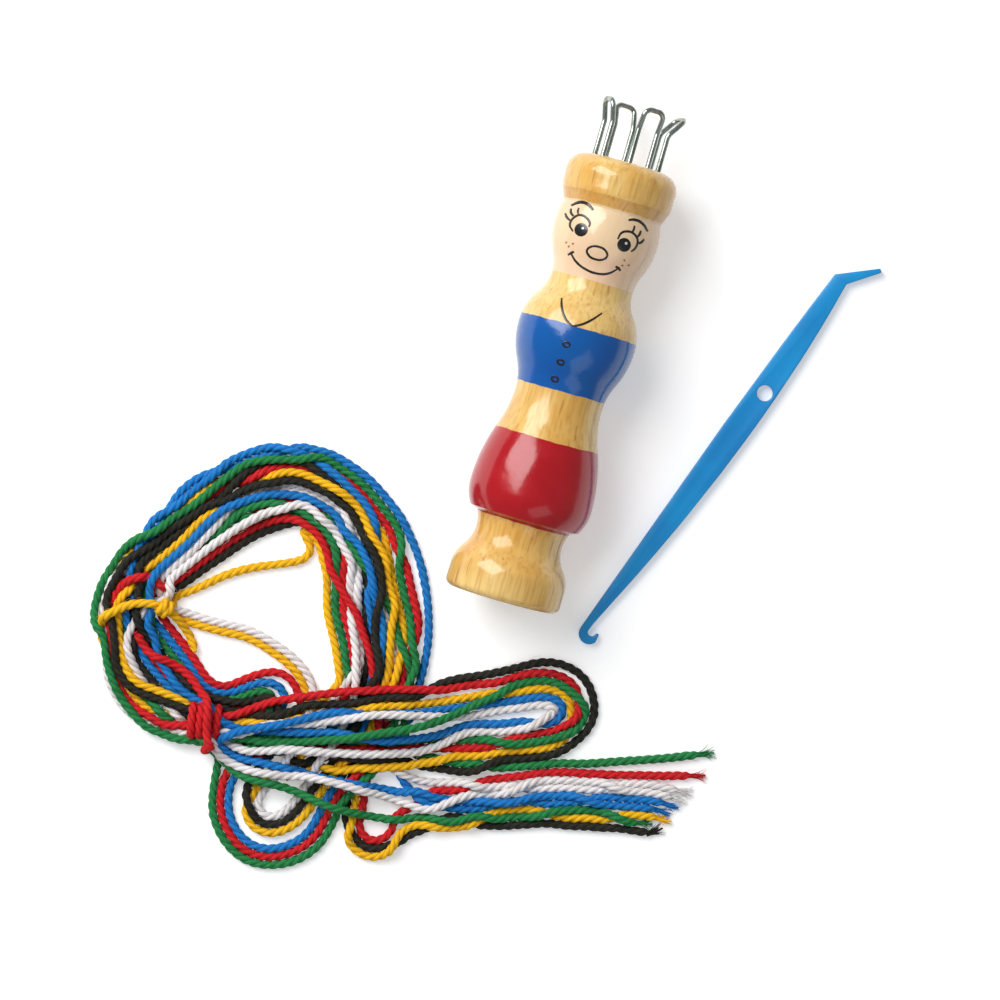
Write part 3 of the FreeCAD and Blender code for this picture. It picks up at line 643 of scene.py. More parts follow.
@dataclass(frozen=True)
class HankRoute:
    """How the six colours are wound: the ways of the ribbon, and how the strands lie in it."""

    yarn_d: float = 2.0
    pitch: float = 2.4
    split: int = 3
    half_shift: float = pitch * split / 2 + 0.15
    loop_shift: float = 2.0
    ribbon_half: float = 6.0
    lap_sides: tuple[float, ...] = (-1.0, 1.0, -0.2)
    ring: tuple[tuple[float, float, float], ...] = (
        (-21.6, -22.5, 11.2), (-27.1, -9.3, 12.4), (-32.3, 2.5, 9.9), (-42.4, 10.8, 7.9), (-55.3, 10.9, 6.1),
        (-66.4, 0.9, 8.4), (-75.5, -12.0, 7.5))
    lap_heights: tuple[tuple[float, ...], ...] = (
        (0.0,) * 7, (2.4, 2.6, 2.5, 2.8, 2.5, 2.7, 2.4), (5.9, 4.9, 5.2, 5.1, 5.4, 5.1, 5.4))
    tails: tuple[tuple[float, float], ...] = (
        (49.4, -39.5), (50.6, -36.8), (51.5, -34.0), (53.6, -31.0), (55.4, -26.3), (55.7, -20.7))
    second_tails: tuple[tuple[float, float], ...] = ((52.9, -33.4), (50.0, -35.8), (47.3, -38.6))
    second_tail_height: float = 2.5
    tail_order: str = "kybwrg"
    lap_orders: tuple[str, ...] = ("kgwyrb", "ygrwkb", "rwbkyg")
    outer_orders: tuple[str, ...] = ("rbkgyw", "bwykrg")
    under_order: str = "ywrbgk"
    inner_order: str = "ywrbgk"
    bight_order: str = "wkybrg"
    loop_out_orders: tuple[tuple[int, str], ...] = ((5, "rky"), (6, "kry"), (6, "ykr"))
    loop_back_orders: tuple[tuple[int, str], ...] = (
        (7, "bgw"), (5, "wbg"), (6, "gwb"), (6, "bwg"), (7, "wbg"))
    climb_share: float = 0.30
    stray: tuple[tuple[float, float, float], ...] = (
        (-47.0, 3.6, 3.0), (-44.3, -1.6, 1.5), (-49.6, -5.6, 0.5), (-59.0, -10.0, 0.5), (-65.0, -16.2, 1.5))
    tail: Way = Way(((34.7, -36.6), (19.0, -40.4), (7.8, -45.3), (-2.0, -48.3)), (0.0,) * 4)
    short_way: Way = Way(((-9.0, -44.4), (-13.8, -40.5), (-15.3, -33.0)), (0.0,) * 3)
    mid_bight: Way = Way(((-7.4, -55.2), (-8.6, -60.6), (-13.2, -64.0), (-18.2, -61.2), (-20.0, -55.0),
                          (-20.8, -45.5), (-21.8, -35.0)), (0.0, 0.0, 0.0, 0.0, 0.0, 0.8, 1.9))
    outer_way: Way = Way(((-82.2, -24.0), (-79.3, -36.0), (-71.3, -43.5), (-58.6, -45.5)), (0.0,) * 4)
    outer_heights_again: tuple[float, ...] = (5.6, 6.8, 4.8, 4.5)
    under_way: Way = Way(((-45.0, -44.5), (-36.0, -43.0), (-29.5, -38.5), (-24.5, -31.0)),
                         (0.0, 0.0, 3.8, 4.6))
    inner_way: Way = Way(((-77.0, -21.0), (-72.5, -28.8), (-62.6, -30.0), (-50.1, -28.6), (-41.5, -32.0),
                          (-38.0, -38.5), (-39.5, -46.0)), (2.7, 3.8, 0.7, 0.0, 3.4, 8.6, 4.5))
    left_bight: Way = Way(((-44.5, -54.5), (-45.5, -63.0), (-38.0, -69.0), (-29.5, -64.5), (-26.0, -55.5),
                           (-23.5, -46.0), (-20.5, -36.0)), (2.1, 0.0, 0.0, 0.1, 3.9, 5.7, 9.2))
    loop_out: Way = Way(((-50.0, -43.6), (-43.0, -41.0), (-30.5, -35.8), (-20.0, -31.5), (-9.0, -27.5),
                         (4.7, -20.5), (14.5, -15.2), (21.5, -16.2), (24.3, -21.5), (21.0, -27.3),
                         (12.0, -31.5), (2.5, -35.0), (-6.4, -38.0), (-15.0, -40.5), (-23.8, -42.8),
                         (-31.0, -44.8), (-38.0, -46.5)),
                        (8.4, 11.3, 13.4, 11.5, 9.7, 1.9, 0.0, 0.0, 0.0, 1.8, 4.5, 2.3, 7.0, 11.6, 10.1,
                         8.8, 7.2))
    loop_join: tuple[tuple[float, float], ...] = ((-47.0, -52.5),)
    loop_back_heights: tuple[float, ...] = (
        12.8, 16.6, 15.7, 16.9, 12.8, 5.0, 2.4, 3.7, 2.4, 5.8, 6.8, 6.2, 10.5, 14.1, 12.8, 12.7, 13.3, 7.5)
    left_fold: Way = Way(((-53.9, -46.8), (-55.4, -50.2), (-53.9, -53.6), (-50.2, -55.0), (-42.0, -54.2),
                          (-33.0, -52.6), (-24.0, -52.4), (-15.0, -52.0), (-6.0, -51.2), (1.5, -49.5),
                          (7.8, -46.8), (19.0, -42.0), (34.7, -37.8)),
                         (9.9, 8.5, 11.0, 9.5, 13.9, 10.9, 14.5, 10.0, 5.3, 3.0, 2.5, 2.5, 2.5))
    yellow_tie: Way = Way(((-84.4, -41.0), (-85.3, -33.2), (-82.4, -26.7), (-78.2, -23.7), (-73.4, -22.8),
                           (-69.0, -23.6), (-65.8, -26.6), (-63.6, -30.4)),
                          (0.0, 3.5, 8.7, 9.0, 8.0, 5.5, 3.0, 1.5))
    red_tie: Way = Way(((-52.4, -60.0), (-53.2, -54.5), (-54.8, -48.5), (-56.3, -42.5), (-58.0, -37.0),
                        (-62.5, -33.9), (-69.0, -34.6), (-74.6, -33.0), (-77.6, -29.6)),
                       (6.0, 12.0, 12.6, 13.1, 9.7, 7.3, 6.0, 5.0, 5.0))

    def ring_lap(self, number: int) -> Way:
        """A lap of the ring, moved towards one side of the band.

        Args:
            number: Which of the three laps it is.

        Returns:
            The lap's way.
        """
        side, heights = self.lap_sides[number], self.lap_heights[number]
        middle = Way(tuple((x, y) for x, y, half in self.ring), heights)
        places = []
        for (x, y, half), (bx, by, _) in zip(self.ring, middle.beside(1.0)):
            spare = side * max(half - self.ribbon_half - self.yarn_d / 2, 0.0)
            places.append((x + (bx - x) * spare, y + (by - y) * spare))
        return Way(tuple(places), heights)

    def half_points(self, first_half: bool) -> tuple[list[tuple[float, float, float]], list[str]]:
        """The places of the middle strand of half the ribbon, and the order of the colours at each.

        Args:
            first_half: Whether it is the half with yellow, black and red.

        Returns:
            The places, and each one's order from the left, with no order where the ribbon keeps its own.
        """
        middle = self.half_shift if first_half else -self.half_shift
        outer_again = Way(self.outer_way.places, self.outer_heights_again)
        wound = [(self.tail.beside(middle), self.tail_order),
                 ((self.mid_bight if first_half else self.short_way).beside(0.0), "")]
        wound += [(way.beside(middle), order) for way, order in (
            (self.ring_lap(0), self.lap_orders[0]), (self.outer_way, self.outer_orders[0]),
            (self.under_way, self.under_order), (self.ring_lap(1), self.lap_orders[1]),
            (self.inner_way, self.inner_order), (self.left_bight, self.bight_order),
            (self.ring_lap(2), self.lap_orders[2]), (outer_again, self.outer_orders[1]))]
        if first_half:
            loop, parts = self.loop_out.beside(self.loop_shift), self.loop_out_orders
        else:
            back = Way(self.loop_out.places + self.loop_join, self.loop_back_heights)
            loop = back.beside(-self.loop_shift)[::-1] + self.left_fold.beside(0.0)
            parts = self.loop_back_orders
        for count, order in parts:
            wound.append((loop[:count], order))
            loop = loop[count:]
        pairs = [(row, order) for rows, order in wound for row in rows]
        return [row for row, _ in pairs], [order for _, order in pairs]

    def place_in_order(self, dye: Dye, order: str) -> float:
        """How far a colour lies to the left of its own place, where the colours change places."""
        index = list(Dye).index(dye)
        if not order:
            return 0.0
        if len(order) == self.split:
            return self.pitch * (index % self.split - order.index(dye.letter))

        def across(place: int) -> float:
            """A place's distance to the left of the whole ribbon's middle."""
            half = self.half_shift if place < self.split else -self.half_shift
            return half + self.pitch * (1 - place % self.split)

        return across(order.index(dye.letter)) - across(index)

    def strand_points(self, dye: Dye) -> np.ndarray:
        """A colour's places, beside the middle strand of its half of the ribbon.

        Args:
            dye: The colour.

        Returns:
            Rows of x, y and z in millimetres, from the colour's first end.
        """
        index = list(Dye).index(dye)
        first_half = index < self.split
        rows, orders = self.half_points(first_half)
        slot = self.pitch * (1 - index % self.split)
        aside = np.array([self.place_in_order(dye, order) for order in orders])
        for _ in range(3):
            aside[1:-1] = (aside[:-2] + 2 * aside[1:-1] + aside[2:]) / 4
        lifted = self.climb_share * np.abs(np.gradient(aside))
        plan = [Vector(row[:2]) for row in rows]
        places = [(*self.tails[self.tail_order.index(dye.letter)], 0.0)]
        for i, row in enumerate(rows):
            back = plan[i] - plan[i - 1] if i else plan[1] - plan[0]
            ahead = plan[i + 1] - plan[i] if i < len(plan) - 1 else back
            way = (back / back.dot(back) + ahead / ahead.dot(ahead)).normalized()
            over = slot + aside[i]
            places.append((row[0] - way.y * over, row[1] + way.x * over, row[2] + lifted[i]))
        if dye is Dye.YELLOW:
            first = 1 + orders.index(self.lap_orders[1]) + len(self.ring) - 3
            places[first:first + 3] = self.stray
        if not first_half:
            places.append((*self.second_tails[index - self.split], self.second_tail_height))
        return np.array(places) + np.array([0.0, 0.0, self.yarn_d / 2])

    def tie_points(self, way: Way) -> np.ndarray:
        """A tie's places, as rows of x, y and z in millimetres."""
        return np.array(way.beside(0.0)) + np.array([0.0, 0.0, self.yarn_d / 2])


def spline_line(points: np.ndarray, spacing: float) -> np.ndarray:
    """Evenly spaced places read from a NURBS spline on a route's points.

    Args:
        points: The route's points, as the spline's control points.
        spacing: How far apart the places are.

    Returns:
        Rows of x, y and z along the spline.
    """
    curve = bpy.data.curves.new("route", "CURVE")
    curve.dimensions = "3D"
    curve.resolution_u = 14
    spline = curve.splines.new("NURBS")
    spline.points.add(len(points) - 1)
    for point, place in zip(spline.points, points):
        point.co = (*place, 1.0)
    spline.order_u = 3
    spline.use_endpoint_u = True
    mesh = mesh_of(curve)
    read = np.array([vertex.co for vertex in mesh.vertices])
    bpy.data.curves.remove(curve)
    bpy.data.meshes.remove(mesh)
    return even_line(read, spacing)


def even_line(line: np.ndarray, spacing: float) -> np.ndarray:
    """The same line with its places evenly spaced."""
    steps = np.linalg.norm(np.diff(line, axis=0), axis=1)
    travelled = np.concatenate([[0.0], np.cumsum(steps)])
    wanted = np.linspace(0.0, travelled[-1], max(int(round(travelled[-1] / spacing)), 2) + 1)
    return np.stack([np.interp(wanted, travelled, line[:, axis]) for axis in range(3)], axis=1)


def soft_noise(rng: np.random.Generator, count: int, knot: float) -> np.ndarray:
    """A smooth wandering number along a strand, about nothing, mostly within one either way.

    Args:
        rng: The seeded source of numbers.
        count: How many places the strand has.
        knot: How many places lie between two of its turning points.

    Returns:
        A number for each place.
    """
    knots = int(count / knot) + 4
    values = rng.uniform(-1.0, 1.0, knots)
    at = np.arange(count) / knot + rng.uniform(0.0, 1.0)
    low = at.astype(int)
    share = (1 - np.cos((at - low) * math.pi)) / 2
    return values[low] * (1 - share) + values[low + 1] * share


def near_pairs(places: np.ndarray, reach: float) -> tuple[np.ndarray, np.ndarray]:
    """The numbers of all pairs of places that lie in the same or neighbouring cells of a grid.

    Args:
        places: Rows of x, y and z.
        reach: The size of a cell.

    Returns:
        The first and the second numbers of the pairs.
    """
    cells = np.floor(places / reach).astype(np.int64)
    cells -= cells.min(axis=0) - 1
    wide, deep = cells[:, 1].max() + 2, cells[:, 2].max() + 2
    codes = (cells[:, 0] * wide + cells[:, 1]) * deep + cells[:, 2]
    order = np.argsort(codes, kind="stable")
    ranked = codes[order]
    everyone = np.arange(len(places))
    first, second = [], []
    for dx, dy, dz in [(x, y, z) for x in (-1, 0, 1) for y in (-1, 0, 1) for z in (-1, 0, 1)]:
        step = (dx * wide + dy) * deep + dz
        if step < 0:
            continue
        low = np.searchsorted(ranked, codes + step, "left")
        count = np.searchsorted(ranked, codes + step, "right") - low
        for k in range(int(count.max())):
            held = count > k
            a, b = everyone[held], order[low[held] + k]
            if step == 0:
                a, b = a[a < b], b[a < b]
            first.append(a)
            second.append(b)
    return np.concatenate(first), np.concatenate(second)


@dataclass
class Settling:
    """Lets the wound strands down until they rest on the table and on each other."""

    yarn_r: float = 1.0
    spacing: float = 0.9
    turns: int = 110
    fall: float = 0.13
    squeeze: float = 0.93
    hold: float = 0.992
    skip: int = 5
    drawn_in: tuple[tuple[float, float, float, float, float], ...] = (
        (-56.0, -45.0, 4.6, 0.0, 4.5), (-79.2, -25.5, 7.6, -0.62, 3.5))
    draw_width: float = 16.0
    draw_rate: float = 0.10
    draw_start: float = 2.5
    crowding: float = 0.35
    stretch_rate: float = 0.4
    keeping: float = 0.45
    evening: float = 0.55

    def draw_in(self, places: np.ndarray, share: float) -> None:
        """Draws the strands together where a tie holds them.

        Args:
            places: Rows of x, y and z, which it moves.
            share: How far through the settling it is.
        """
        for x, y, half, turn, reach in self.drawn_in:
            along = (math.cos(turn), math.sin(turn))
            dx, dy = places[:, 0] - x, places[:, 1] - y
            far = dx * along[0] + dy * along[1]
            across = dy * along[0] - dx * along[1]
            near = np.exp(-(far / reach) ** 2) * (np.abs(across) < self.draw_width)
            over = np.sign(across) * np.maximum(np.abs(across) - half, 0.0) * near
            over = over * self.draw_rate * min(1.0, self.draw_start * share)
            places[:, 0] += over * along[1]
            places[:, 1] -= over * along[0]

    def run(self, strands: list[np.ndarray]) -> list[np.ndarray]:
        """Settles the strands together.

        Args:
            strands: Each strand's places, as rows in millimetres.

        Returns:
            The settled strands.
        """
        start = np.concatenate(strands)
        owner = np.concatenate([np.full(len(s), i) for i, s in enumerate(strands)])
        number = np.concatenate([np.arange(len(s)) for s in strands])
        joined = owner[1:] == owner[:-1]
        rest = np.linalg.norm(np.diff(start, axis=0), axis=1)
        places, apart = start.copy(), 2 * self.yarn_r * self.squeeze
        for turn in range(self.turns):
            if turn % 3 == 0:
                first, second = near_pairs(places, apart * 1.25)
                other = (owner[first] != owner[second]) | (np.abs(number[first] - number[second]) > self.skip)
                first, second = first[other], second[other]
            places[:, 2] -= self.fall * min(1.0, 3.0 * (1.0 - turn / self.turns))
            for _ in range(3):
                gap = places[second] - places[first]
                distance = np.linalg.norm(gap, axis=1) + 1e-9
                short = np.maximum(apart - distance, 0.0)
                push = gap / distance[:, None] * (short * 0.5)[:, None]
                moved = np.zeros_like(places)
                touched = np.ones(len(places))
                for axis in range(3):
                    moved[:, axis] += np.bincount(second, push[:, axis], len(places))
                    moved[:, axis] -= np.bincount(first, push[:, axis], len(places))
                hit = (short > 0).astype(float)
                hits = np.bincount(second, hit, len(places)) + np.bincount(first, hit, len(places))
                touched += hits * self.crowding
                places += moved / touched[:, None]
                step = places[1:] - places[:-1]
                length = np.linalg.norm(step, axis=1) + 1e-9
                pull = step / length[:, None] * ((length - rest) * self.stretch_rate * joined)[:, None]
                places[:-1] += pull
                places[1:] -= pull
                places[:, 2] = np.maximum(places[:, 2], self.yarn_r)
            self.draw_in(places, turn / self.turns)
            gone = places - start
            smooth = gone.copy()
            inner = joined[1:] & joined[:-1]
            middle = (gone[:-2] + gone[2:]) / 2
            smooth[1:-1][inner] = gone[1:-1][inner] * self.keeping + middle[inner] * self.evening
            smooth[:, :2] *= self.hold
            places = start + smooth
            places[:, 2] = np.maximum(places[:, 2], self.yarn_r)
        cuts = np.cumsum([len(s) for s in strands])[:-1]
        return np.split(places, cuts)


@dataclass
class YarnTube:
    """A yarn of three plies twisted together, with stray fibres and cut ends."""

    yarn_r: float = 1.0
    sides: int = 18
    plies: int = 3
    ring_step: float = 0.5
    twist_length: float = 6.4
    ply_offset: float = 0.46
    ply_r: float = 0.56
    least: float = 0.76
    unevenness: float = 0.045
    uneven_knot: float = 9.0
    taper: float = 1.4
    fray_length: float = 4.0
    fray_fibres: int = 30
    fray_r: float = 0.13
    fray_shares: tuple[float, ...] = (0.0, 0.3, 0.6, 0.85, 1.0)
    fibres_per_mm: float = 0.55
    fibre_r: float = 0.035

    def section(self) -> np.ndarray:
        """The radius of the lobed section at each of its places, as a share of the yarn's radius."""
        turn = np.arange(self.sides) / self.sides * FULL_TURN
        off = np.abs((turn + math.pi / self.plies) % (FULL_TURN / self.plies) - math.pi / self.plies)
        inside = np.maximum(self.ply_r ** 2 - (self.ply_offset * np.sin(off)) ** 2, 0.0)
        return np.maximum(self.ply_offset * np.cos(off) + np.sqrt(inside), self.least)

    @staticmethod
    def frames(line: np.ndarray) -> tuple[np.ndarray, np.ndarray]:
        """Two directions square to a line at each of its places, that turn with it no more than they must."""
        ways = np.gradient(line, axis=0)
        ways /= np.linalg.norm(ways, axis=1)[:, None]
        sides = np.zeros_like(ways)
        side = np.cross(ways[0], [0.0, 0.0, 1.0])
        for i, way in enumerate(ways):
            side = side - way * side.dot(way)
            side /= np.linalg.norm(side)
            sides[i] = side
        return sides, np.cross(ways, sides)

    def body(self, line: np.ndarray, whole: np.ndarray) -> tuple[np.ndarray, list, np.ndarray]:
        """The twisted tube.

        Args:
            line: The places that it follows, in millimetres.
            whole: The yarn's thickness at each place, as a share.

        Returns:
            Its points, its faces and the faces' places across and along the plies.
        """
        side, up = self.frames(line)
        along = np.arange(len(line)) * self.ring_step
        turn = (np.arange(self.sides) / self.sides * FULL_TURN)[None, :] \
            - (along / self.twist_length * FULL_TURN)[:, None]
        out = self.section()[None, :] * self.yarn_r * whole[:, None]
        points = line[:, None, :] + (np.cos(turn) * out)[:, :, None] * side[:, None, :] \
            + (np.sin(turn) * out)[:, :, None] * up[:, None, :]
        rings, n = len(line), self.sides
        base = (np.arange(rings - 1) * n)[:, None] + np.arange(n)[None, :]
        after = (np.arange(rings - 1) * n)[:, None] + (np.arange(n)[None, :] + 1) % n
        faces = np.stack([base, base + n, after + n, after], axis=2).reshape(-1, 4)
        u0 = np.broadcast_to((np.arange(n) / n * self.plies + 0.5)[None, :], base.shape)
        u1 = u0 + self.plies / n
        v0 = np.broadcast_to(along[:-1, None], base.shape)
        v1 = v0 + self.ring_step
        uv = np.stack([np.stack([u0, v0], 2), np.stack([u0, v1], 2), np.stack([u1, v1], 2),
                       np.stack([u1, v0], 2)], axis=2).reshape(-1, 2)
        caps = [list(range(n))[::-1], list(range((rings - 1) * n, rings * n))]
        uv = np.concatenate([uv, np.full((2 * n, 2), 0.5)])
        return points.reshape(-1, 3), faces.tolist() + caps, uv

    def hair(self, spots: np.ndarray, thick: float) -> tuple[np.ndarray, list, np.ndarray]:
        """One fine three-sided fibre that tapers along its places."""
        side, up = self.frames(spots)
        size = thick * np.linspace(1.0, 0.35, len(spots))
        points = []
        for spot, a, b, r in zip(spots, side, up, size):
            points += [spot + (a * math.cos(t) + b * math.sin(t)) * r for t in (0.0, 2.1, 4.2)]
        faces = [[3 * i + k, 3 * i + 3 + k, 3 * i + 3 + (k + 1) % 3, 3 * i + (k + 1) % 3]
                 for i in range(len(spots) - 1) for k in range(3)]
        faces += [[2, 1, 0], [len(points) - 3, len(points) - 2, len(points) - 1]]
        corners = sum(len(face) for face in faces)
        return np.array(points), faces, np.full((corners, 2), 0.5)

    def strays(self, line: np.ndarray, rng: np.random.Generator) -> list:
        """Short fibres that stand off the yarn and bend along it."""
        side, up = self.frames(line)
        made = []
        for _ in range(int(len(line) * self.ring_step * self.fibres_per_mm)):
            i = int(rng.integers(2, max(len(line) - 8, 3)))
            turn = rng.uniform(0.0, FULL_TURN)
            out = side[i] * math.cos(turn) + up[i] * math.sin(turn)
            across = np.cross(line[i + 1] - line[i - 1], out)
            across /= np.linalg.norm(across)
            reach = rng.uniform(1.2, 3.2) * rng.choice([-1.0, 1.0])
            lean = across * rng.uniform(-0.8, 0.8)
            way = (line[i + 1] - line[i - 1]) / np.linalg.norm(line[i + 1] - line[i - 1])
            high = rng.uniform(0.08, 0.50)
            spots = np.array([line[i] + out * self.yarn_r * 0.85,
                              line[i] + out * (self.yarn_r + high * 0.7) + way * reach * 0.3 + lean * 0.3,
                              line[i] + out * (self.yarn_r + high) + way * reach * 0.65 + lean * 0.7,
                              line[i] + out * (self.yarn_r + high * 0.9) + way * reach + lean])
            spots[:, 2] = np.maximum(spots[:, 2], 0.03)
            made.append(self.hair(spots, self.fibre_r))
        return made

    def fray(self, line: np.ndarray, backwards: bool, rng: np.random.Generator) -> list:
        """The fibres that spread at a cut end."""
        ordered = line[::-1] if backwards else line
        end, way = ordered[-1], ordered[-1] - ordered[-6]
        way /= np.linalg.norm(way)
        root = end - way * self.fray_length
        across = np.cross(way, [0.0, 0.0, 1.0])
        across /= np.linalg.norm(across)
        made = []
        for _ in range(self.fray_fibres):
            spread, lift = rng.normal(0.0, 0.75), abs(rng.normal(0.0, 0.35))
            long = self.fray_length * rng.uniform(0.65, 1.12)
            start = root + across * rng.uniform(-0.5, 0.5) + np.array([0.0, 0.0, rng.uniform(-0.5, 0.5)])
            spots = np.array([start + way * long * t + across * spread * t * t
                              + np.array([0.0, 0.0, (lift - 0.5) * t * t]) for t in self.fray_shares])
            spots[:, 2] = np.maximum(spots[:, 2], 0.12)
            made.append(self.hair(spots, self.fray_r))
        return made

    def build(self, name: str, line: np.ndarray, material: bpy.types.Material, seed: int,
              frayed: tuple[bool, bool]) -> bpy.types.Object:
        """The whole yarn.

        Args:
            name: The piece's name.
            line: The places that it follows, in millimetres from the doll's foot.
            material: Its finish.
            seed: The seed of its fibres.
            frayed: Whether its first and its last end are frayed.

        Returns:
            The mesh object.
        """
        rng = np.random.default_rng(seed)
        fine = even_line(line, self.ring_step)
        for _ in range(3):
            fine[1:-1] = (fine[:-2] + 2 * fine[1:-1] + fine[2:]) / 4
        travelled = np.arange(len(fine)) * self.ring_step
        whole = 1.0 + self.unevenness * soft_noise(rng, len(fine), self.uneven_knot)
        blunt = self.fray_length * 0.8
        for held, far in ((frayed[0], travelled), (frayed[1], travelled[::-1])):
            start = blunt if held else 0.0
            whole *= np.clip((far - start) / self.taper, 0.05 if held else 0.25, 1.0) ** 0.5
        parts = [self.body(fine, whole)] + self.strays(fine, rng)
        for held, backwards in ((frayed[0], True), (frayed[1], False)):
            if held:
                parts += self.fray(fine, backwards, rng)
        points, faces, uv, before = [], [], [], 0
        for part_points, part_faces, part_uv in parts:
            points.append(part_points)
            faces += [[number + before for number in face] for face in part_faces]
            uv.append(part_uv)
            before += len(part_points)
        mesh = bpy.data.meshes.new(name)
        mesh.from_pydata(in_frame(np.concatenate(points)).tolist(), [], faces)
        layer = mesh.uv_layers.new(name="ply")
        layer.data.foreach_set("uv", np.concatenate(uv).astype(np.float32).ravel())
        mesh.polygons.foreach_set("use_smooth", [True] * len(mesh.polygons))
        mesh.update()
        obj = placed(name, mesh)
        dress(obj, material)
        return obj


@dataclass(frozen=True)
class TieTurns:
    """A tie's turns round the strands nearest to a spot, whose way is measured from the X axis."""

    spot: tuple[float, float] = (-56.6, -45.4)
    turn: float = 0.10
    count: float = 3.4
    step: float = 1.9
    reach: float = 2.3
    depth: float = 2.5
    clear: float = 1.3
    steps: int = 48
    roundness: float = 0.8
    foot: float = 0.3
    lowest: float = 0.9

    def line(self, held: list[np.ndarray]) -> np.ndarray:
        """The way of the tie.

        Args:
            held: The strands' settled lines.

        Returns:
            Rows of x, y and z.
        """
        points = np.concatenate(held)
        along = np.array([math.cos(self.turn), math.sin(self.turn)])
        side = np.array([-along[1], along[0]])
        flat = points[:, :2] - np.array(self.spot)
        near = (np.abs(flat @ along) < self.depth) & (np.abs(flat @ side) < self.reach)
        across, high = (flat @ side)[near], points[near, 2]
        middle, half = (across.max() + across.min()) / 2, (across.max() - across.min()) / 2 + self.clear
        top = high.max() + self.clear
        LOG.info("a tie holds strands %.1f mm wide and %.1f mm high", 2 * half, top)
        angle = np.linspace(0.0, self.count * FULL_TURN, int(self.count * self.steps))
        wide = np.sign(np.cos(angle)) * np.abs(np.cos(angle)) ** self.roundness * half + middle
        tall = np.sign(np.sin(angle)) * np.abs(np.sin(angle)) ** self.roundness * (top / 2 - self.foot)
        far = (angle / FULL_TURN - self.count / 2) * self.step
        plan = np.array(self.spot) + far[:, None] * along + wide[:, None] * side
        return np.column_stack([plan, np.maximum(top / 2 + tall, self.lowest)])


@dataclass(frozen=True)
class SmallKnot:
    """The small knot at a share of a tie's length: a few close turns round it."""

    share: float = 0.66
    count: float = 1.7
    wide: float = 1.55
    tall: float = 1.45
    step: float = 1.5
    steps: int = 70
    lowest: float = 1.0

    def line(self, tie: np.ndarray) -> np.ndarray:
        """The knot's turns.

        Args:
            tie: The tie's settled line.

        Returns:
            Rows of x, y and z.
        """
        at = int(len(tie) * self.share)
        way = tie[at + 3] - tie[at - 3]
        way /= np.linalg.norm(way)
        side = np.cross(way, [0.0, 0.0, 1.0])
        side /= np.linalg.norm(side)
        up = np.cross(side, way)
        angle = np.linspace(0.0, self.count * FULL_TURN, self.steps)
        coil = tie[at] + np.outer(np.cos(angle), side) * self.wide + np.outer(np.sin(angle), up) * self.tall \
            + np.outer((angle / FULL_TURN - self.count / 2) * self.step, way)
        coil[:, 2] = np.maximum(coil[:, 2], self.lowest)
        return coil


